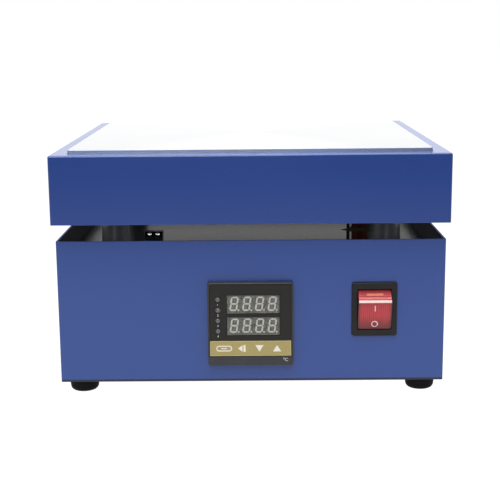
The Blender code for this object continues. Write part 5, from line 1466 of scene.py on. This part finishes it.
def seen_as_white(tree):
    """Two factors: the camera or a clear piece looks at it, and a glossy piece mirrors it."""
    path = add_node(tree, "ShaderNodeLightPath")
    through = {0: path.outputs["Is Camera Ray"], 1: path.outputs["Is Transmission Ray"]}
    seen = add_node(tree, "ShaderNodeMath", {"operation": "MAXIMUM"}, through)
    return seen.outputs[0], path.outputs["Is Glossy Ray"]


class HOTPLATE_OT_inner_parts(bpy.types.Operator):
    """Give the parts that keep their frame shape their finishes"""

    bl_idname = "hotplate.inner_parts"
    bl_label = "Inner Parts"

    def execute(self, context):
        for node in frame["nodes"].values():
            for place in node.material_slots:
                if place.material.name in LOOK_OF_SLOT:
                    place.material = finish(LOOK_OF_SLOT[place.material.name])
        return {"FINISHED"}


class HOTPLATE_OT_stage(bpy.types.Operator):
    """Set the pale floor, the soft light and the camera"""

    bl_idname = "hotplate.stage"
    bl_label = "Stage"

    def execute(self, context):
        studio = context.scene.hot_plate_studio
        self.floor(studio)
        self.light(studio)
        self.camera()
        context.scene.view_settings.view_transform = "Standard"
        return {"FINISHED"}

    def floor(self, studio):
        """A pale floor, white to the camera; what the gloss sees of it fades towards the front, as on a bench."""
        bm = bmesh.new()
        bmesh.ops.create_circle(bm, cap_ends=True, radius=12.0, segments=64)
        obj = bare_piece("floor", bm)
        made = bpy.data.materials.new("pale_floor")
        made.use_nodes = True
        tree = made.node_tree
        tree.nodes.remove(tree.nodes["Principled BSDF"])
        seen, mirrored = seen_as_white(tree)
        point = add_node(tree, "ShaderNodeTexCoord").outputs["Object"]
        away = add_node(tree, "ShaderNodeVectorMath", {"operation": "LENGTH"}, {0: point}).outputs["Value"]
        fade = {"interpolation_type": "SMOOTHSTEP", "From Min": -1.25, "From Max": -0.10}
        fade.update({"To Min": studio.far_floor, "To Max": studio.near_floor})
        forward = add_node(tree, "ShaderNodeSeparateXYZ", {}, {0: point}).outputs["Y"]
        bench = add_node(tree, "ShaderNodeMapRange", fade, {"Value": forward}).outputs[0]
        white = {"data_type": "FLOAT", "B": studio.white}
        level = add_node(tree, "ShaderNodeMix", white, {"Factor": seen, "A": bench}).outputs[0]
        bright = add_node(tree, "ShaderNodeEmission", {}, {"Strength": level})
        bench_edge = {"interpolation_type": "SMOOTHSTEP", "From Min": 0.20, "From Max": 0.80}
        beyond = add_node(tree, "ShaderNodeMapRange", bench_edge, {"Value": away}).outputs[0]
        lit = add_node(tree, "ShaderNodeBsdfDiffuse")
        vary(tree, lit.inputs["Color"], beyond, toned(studio.floor, 1.0), toned(studio.floor, 0.35))
        part = add_node(tree, "ShaderNodeMath", {"operation": "MULTIPLY", 1: 0.85}, {0: seen}).outputs[0]
        share = add_node(tree, "ShaderNodeMath", {"operation": "MAXIMUM"}, {0: part, 1: mirrored}).outputs[0]
        mixed = add_node(tree, "ShaderNodeMixShader", {}, {0: share, 1: lit.outputs[0], 2: bright.outputs[0]})
        tree.links.new(mixed.outputs[0], tree.nodes["Material Output"].inputs["Surface"])
        obj.data.materials.append(made)

    def light(self, studio):
        """White all round for the camera, a bright back and a dim front for the gloss, and four softboxes."""
        world = bpy.data.worlds.new("studio")
        bpy.context.scene.world = world
        world.use_nodes = True
        tree = world.node_tree
        sky = tree.nodes["Background"]
        seen, mirrored = seen_as_white(tree)
        facing = add_node(tree, "ShaderNodeTexCoord").outputs["Generated"]
        parts = add_node(tree, "ShaderNodeSeparateXYZ", {}, {0: facing})
        room = {"interpolation_type": "SMOOTHSTEP", "From Min": -0.75, "From Max": -0.05}
        room.update({"To Min": studio.dim_front, "To Max": 1.1})
        gloss = add_node(tree, "ShaderNodeMapRange", room, {"Value": parts.outputs["Y"]}).outputs[0]
        ceiling = {"interpolation_type": "SMOOTHSTEP", "From Min": 0.45, "From Max": 0.97, "To Min": 1.0, "To Max": 0.3}
        ceiling = add_node(tree, "ShaderNodeMapRange", ceiling, {"Value": parts.outputs["Z"]}).outputs[0]
        gloss = add_node(tree, "ShaderNodeMath", {"operation": "MULTIPLY"}, {0: gloss, 1: ceiling}).outputs[0]
        soft = {"data_type": "FLOAT", "A": studio.sky}
        level = add_node(tree, "ShaderNodeMix", soft, {"Factor": mirrored, "B": gloss}).outputs[0]
        white = {"data_type": "FLOAT", "B": 1.0}
        level = add_node(tree, "ShaderNodeMix", white, {"Factor": seen, "A": level}).outputs[0]
        tree.links.new(level, sky.inputs["Strength"])
        sky.inputs["Color"].default_value = (1.0, 1.0, 1.0, 1.0)
        for name, at, size, power in (
            ("softbox_top", (0.0, -0.42, 1.10), 0.80, studio.softbox),
            ("softbox_front", (-0.20, -1.15, 1.00), 0.60, studio.front_softbox),
            ("softbox_camera", (-0.10, -1.40, 0.36), 0.25, studio.camera_softbox),
            ("softbox_back", (0.0, 0.60, 1.10), 0.60, studio.back_softbox),
        ):
            lamp = bpy.data.lights.new(name, "AREA")
            lamp.energy = power
            lamp.size = size
            obj = bpy.data.objects.new(name, lamp)
            bpy.context.scene.collection.objects.link(obj)
            obj.location = at
            obj.rotation_euler = (Vector((0, 0, 0.07)) - Vector(at)).to_track_quat("-Z", "Y").to_euler()

    def camera(self):
        """The photograph's view: just above the plate, tipped down, the camera a hair off level."""
        yaw, pitch, roll = (math.radians(angle) for angle in (0.3111, 11.303, -0.4868))
        right = Vector((math.cos(yaw), math.sin(yaw), 0.0))
        ahead = Vector((-math.sin(yaw) * math.cos(pitch), math.cos(yaw) * math.cos(pitch), -math.sin(pitch)))
        up = right.cross(ahead)
        across = right * math.cos(roll) + up * math.sin(roll)
        above = up * math.cos(roll) - right * math.sin(roll)
        data = bpy.data.cameras.new("camera")
        data.sensor_width = 36.0
        data.lens = 1097.745 / 500 * 36.0
        data.clip_start, data.clip_end = 0.01, 100.0
        obj = bpy.data.objects.new("camera", data)
        bpy.context.scene.collection.objects.link(obj)
        place = Matrix((across, above, -ahead)).transposed().to_4x4()
        place.translation = (0.0028309, -0.6989036, 0.2038355)
        obj.matrix_world = place
        bpy.context.scene.camera = obj


# ---------------------------------------------------------------- panel and registration


class HOTPLATE_PT_panel(bpy.types.Panel):
    """Lists the pieces of the hot plate in the order in which they are made"""

    bl_idname = "HOTPLATE_PT_panel"
    bl_label = "Hot Plate"
    bl_space_type = "VIEW_3D"
    bl_region_type = "UI"
    bl_category = "Hot Plate"

    def draw(self, context):
        column = self.layout.column()
        for name, group in SETTINGS.items():
            values = getattr(context.scene, name)
            for value in group.__annotations__:
                column.prop(values, value)
        for step in STEPS:
            column.operator(step.bl_idname)


SETTINGS = {
    "hot_plate_housings": HousingSettings,
    "hot_plate_plate": PlateSettings,
    "hot_plate_controller": ControllerSettings,
    "hot_plate_switch": SwitchSettings,
    "hot_plate_studio": StudioSettings,
}
STEPS = (
    HOTPLATE_OT_upper_housing,
    HOTPLATE_OT_lower_case,
    HOTPLATE_OT_heating_plate,
    HOTPLATE_OT_standoffs,
    HOTPLATE_OT_feet,
    HOTPLATE_OT_screws,
    HOTPLATE_OT_leads,
    HOTPLATE_OT_controller,
    HOTPLATE_OT_keys,
    HOTPLATE_OT_switch,
    HOTPLATE_OT_inlet,
    HOTPLATE_OT_inner_parts,
    HOTPLATE_OT_stage,
)


def register():
    for group in SETTINGS.values():
        bpy.utils.register_class(group)
    for step in STEPS:
        bpy.utils.register_class(step)
    bpy.utils.register_class(HOTPLATE_PT_panel)
    for name, group in SETTINGS.items():
        setattr(bpy.types.Scene, name, bpy.props.PointerProperty(type=group))


def unregister():
    for name in SETTINGS:
        delattr(bpy.types.Scene, name)
    bpy.utils.unregister_class(HOTPLATE_PT_panel)
    for step in reversed(STEPS):
        bpy.utils.unregister_class(step)
    for group in SETTINGS.values():
        bpy.utils.unregister_class(group)


def main():
    register()
    for step in STEPS:
        family, name = step.bl_idname.split(".")
        getattr(getattr(bpy.ops, family), name)()


if __name__ == "__main__":
    main()
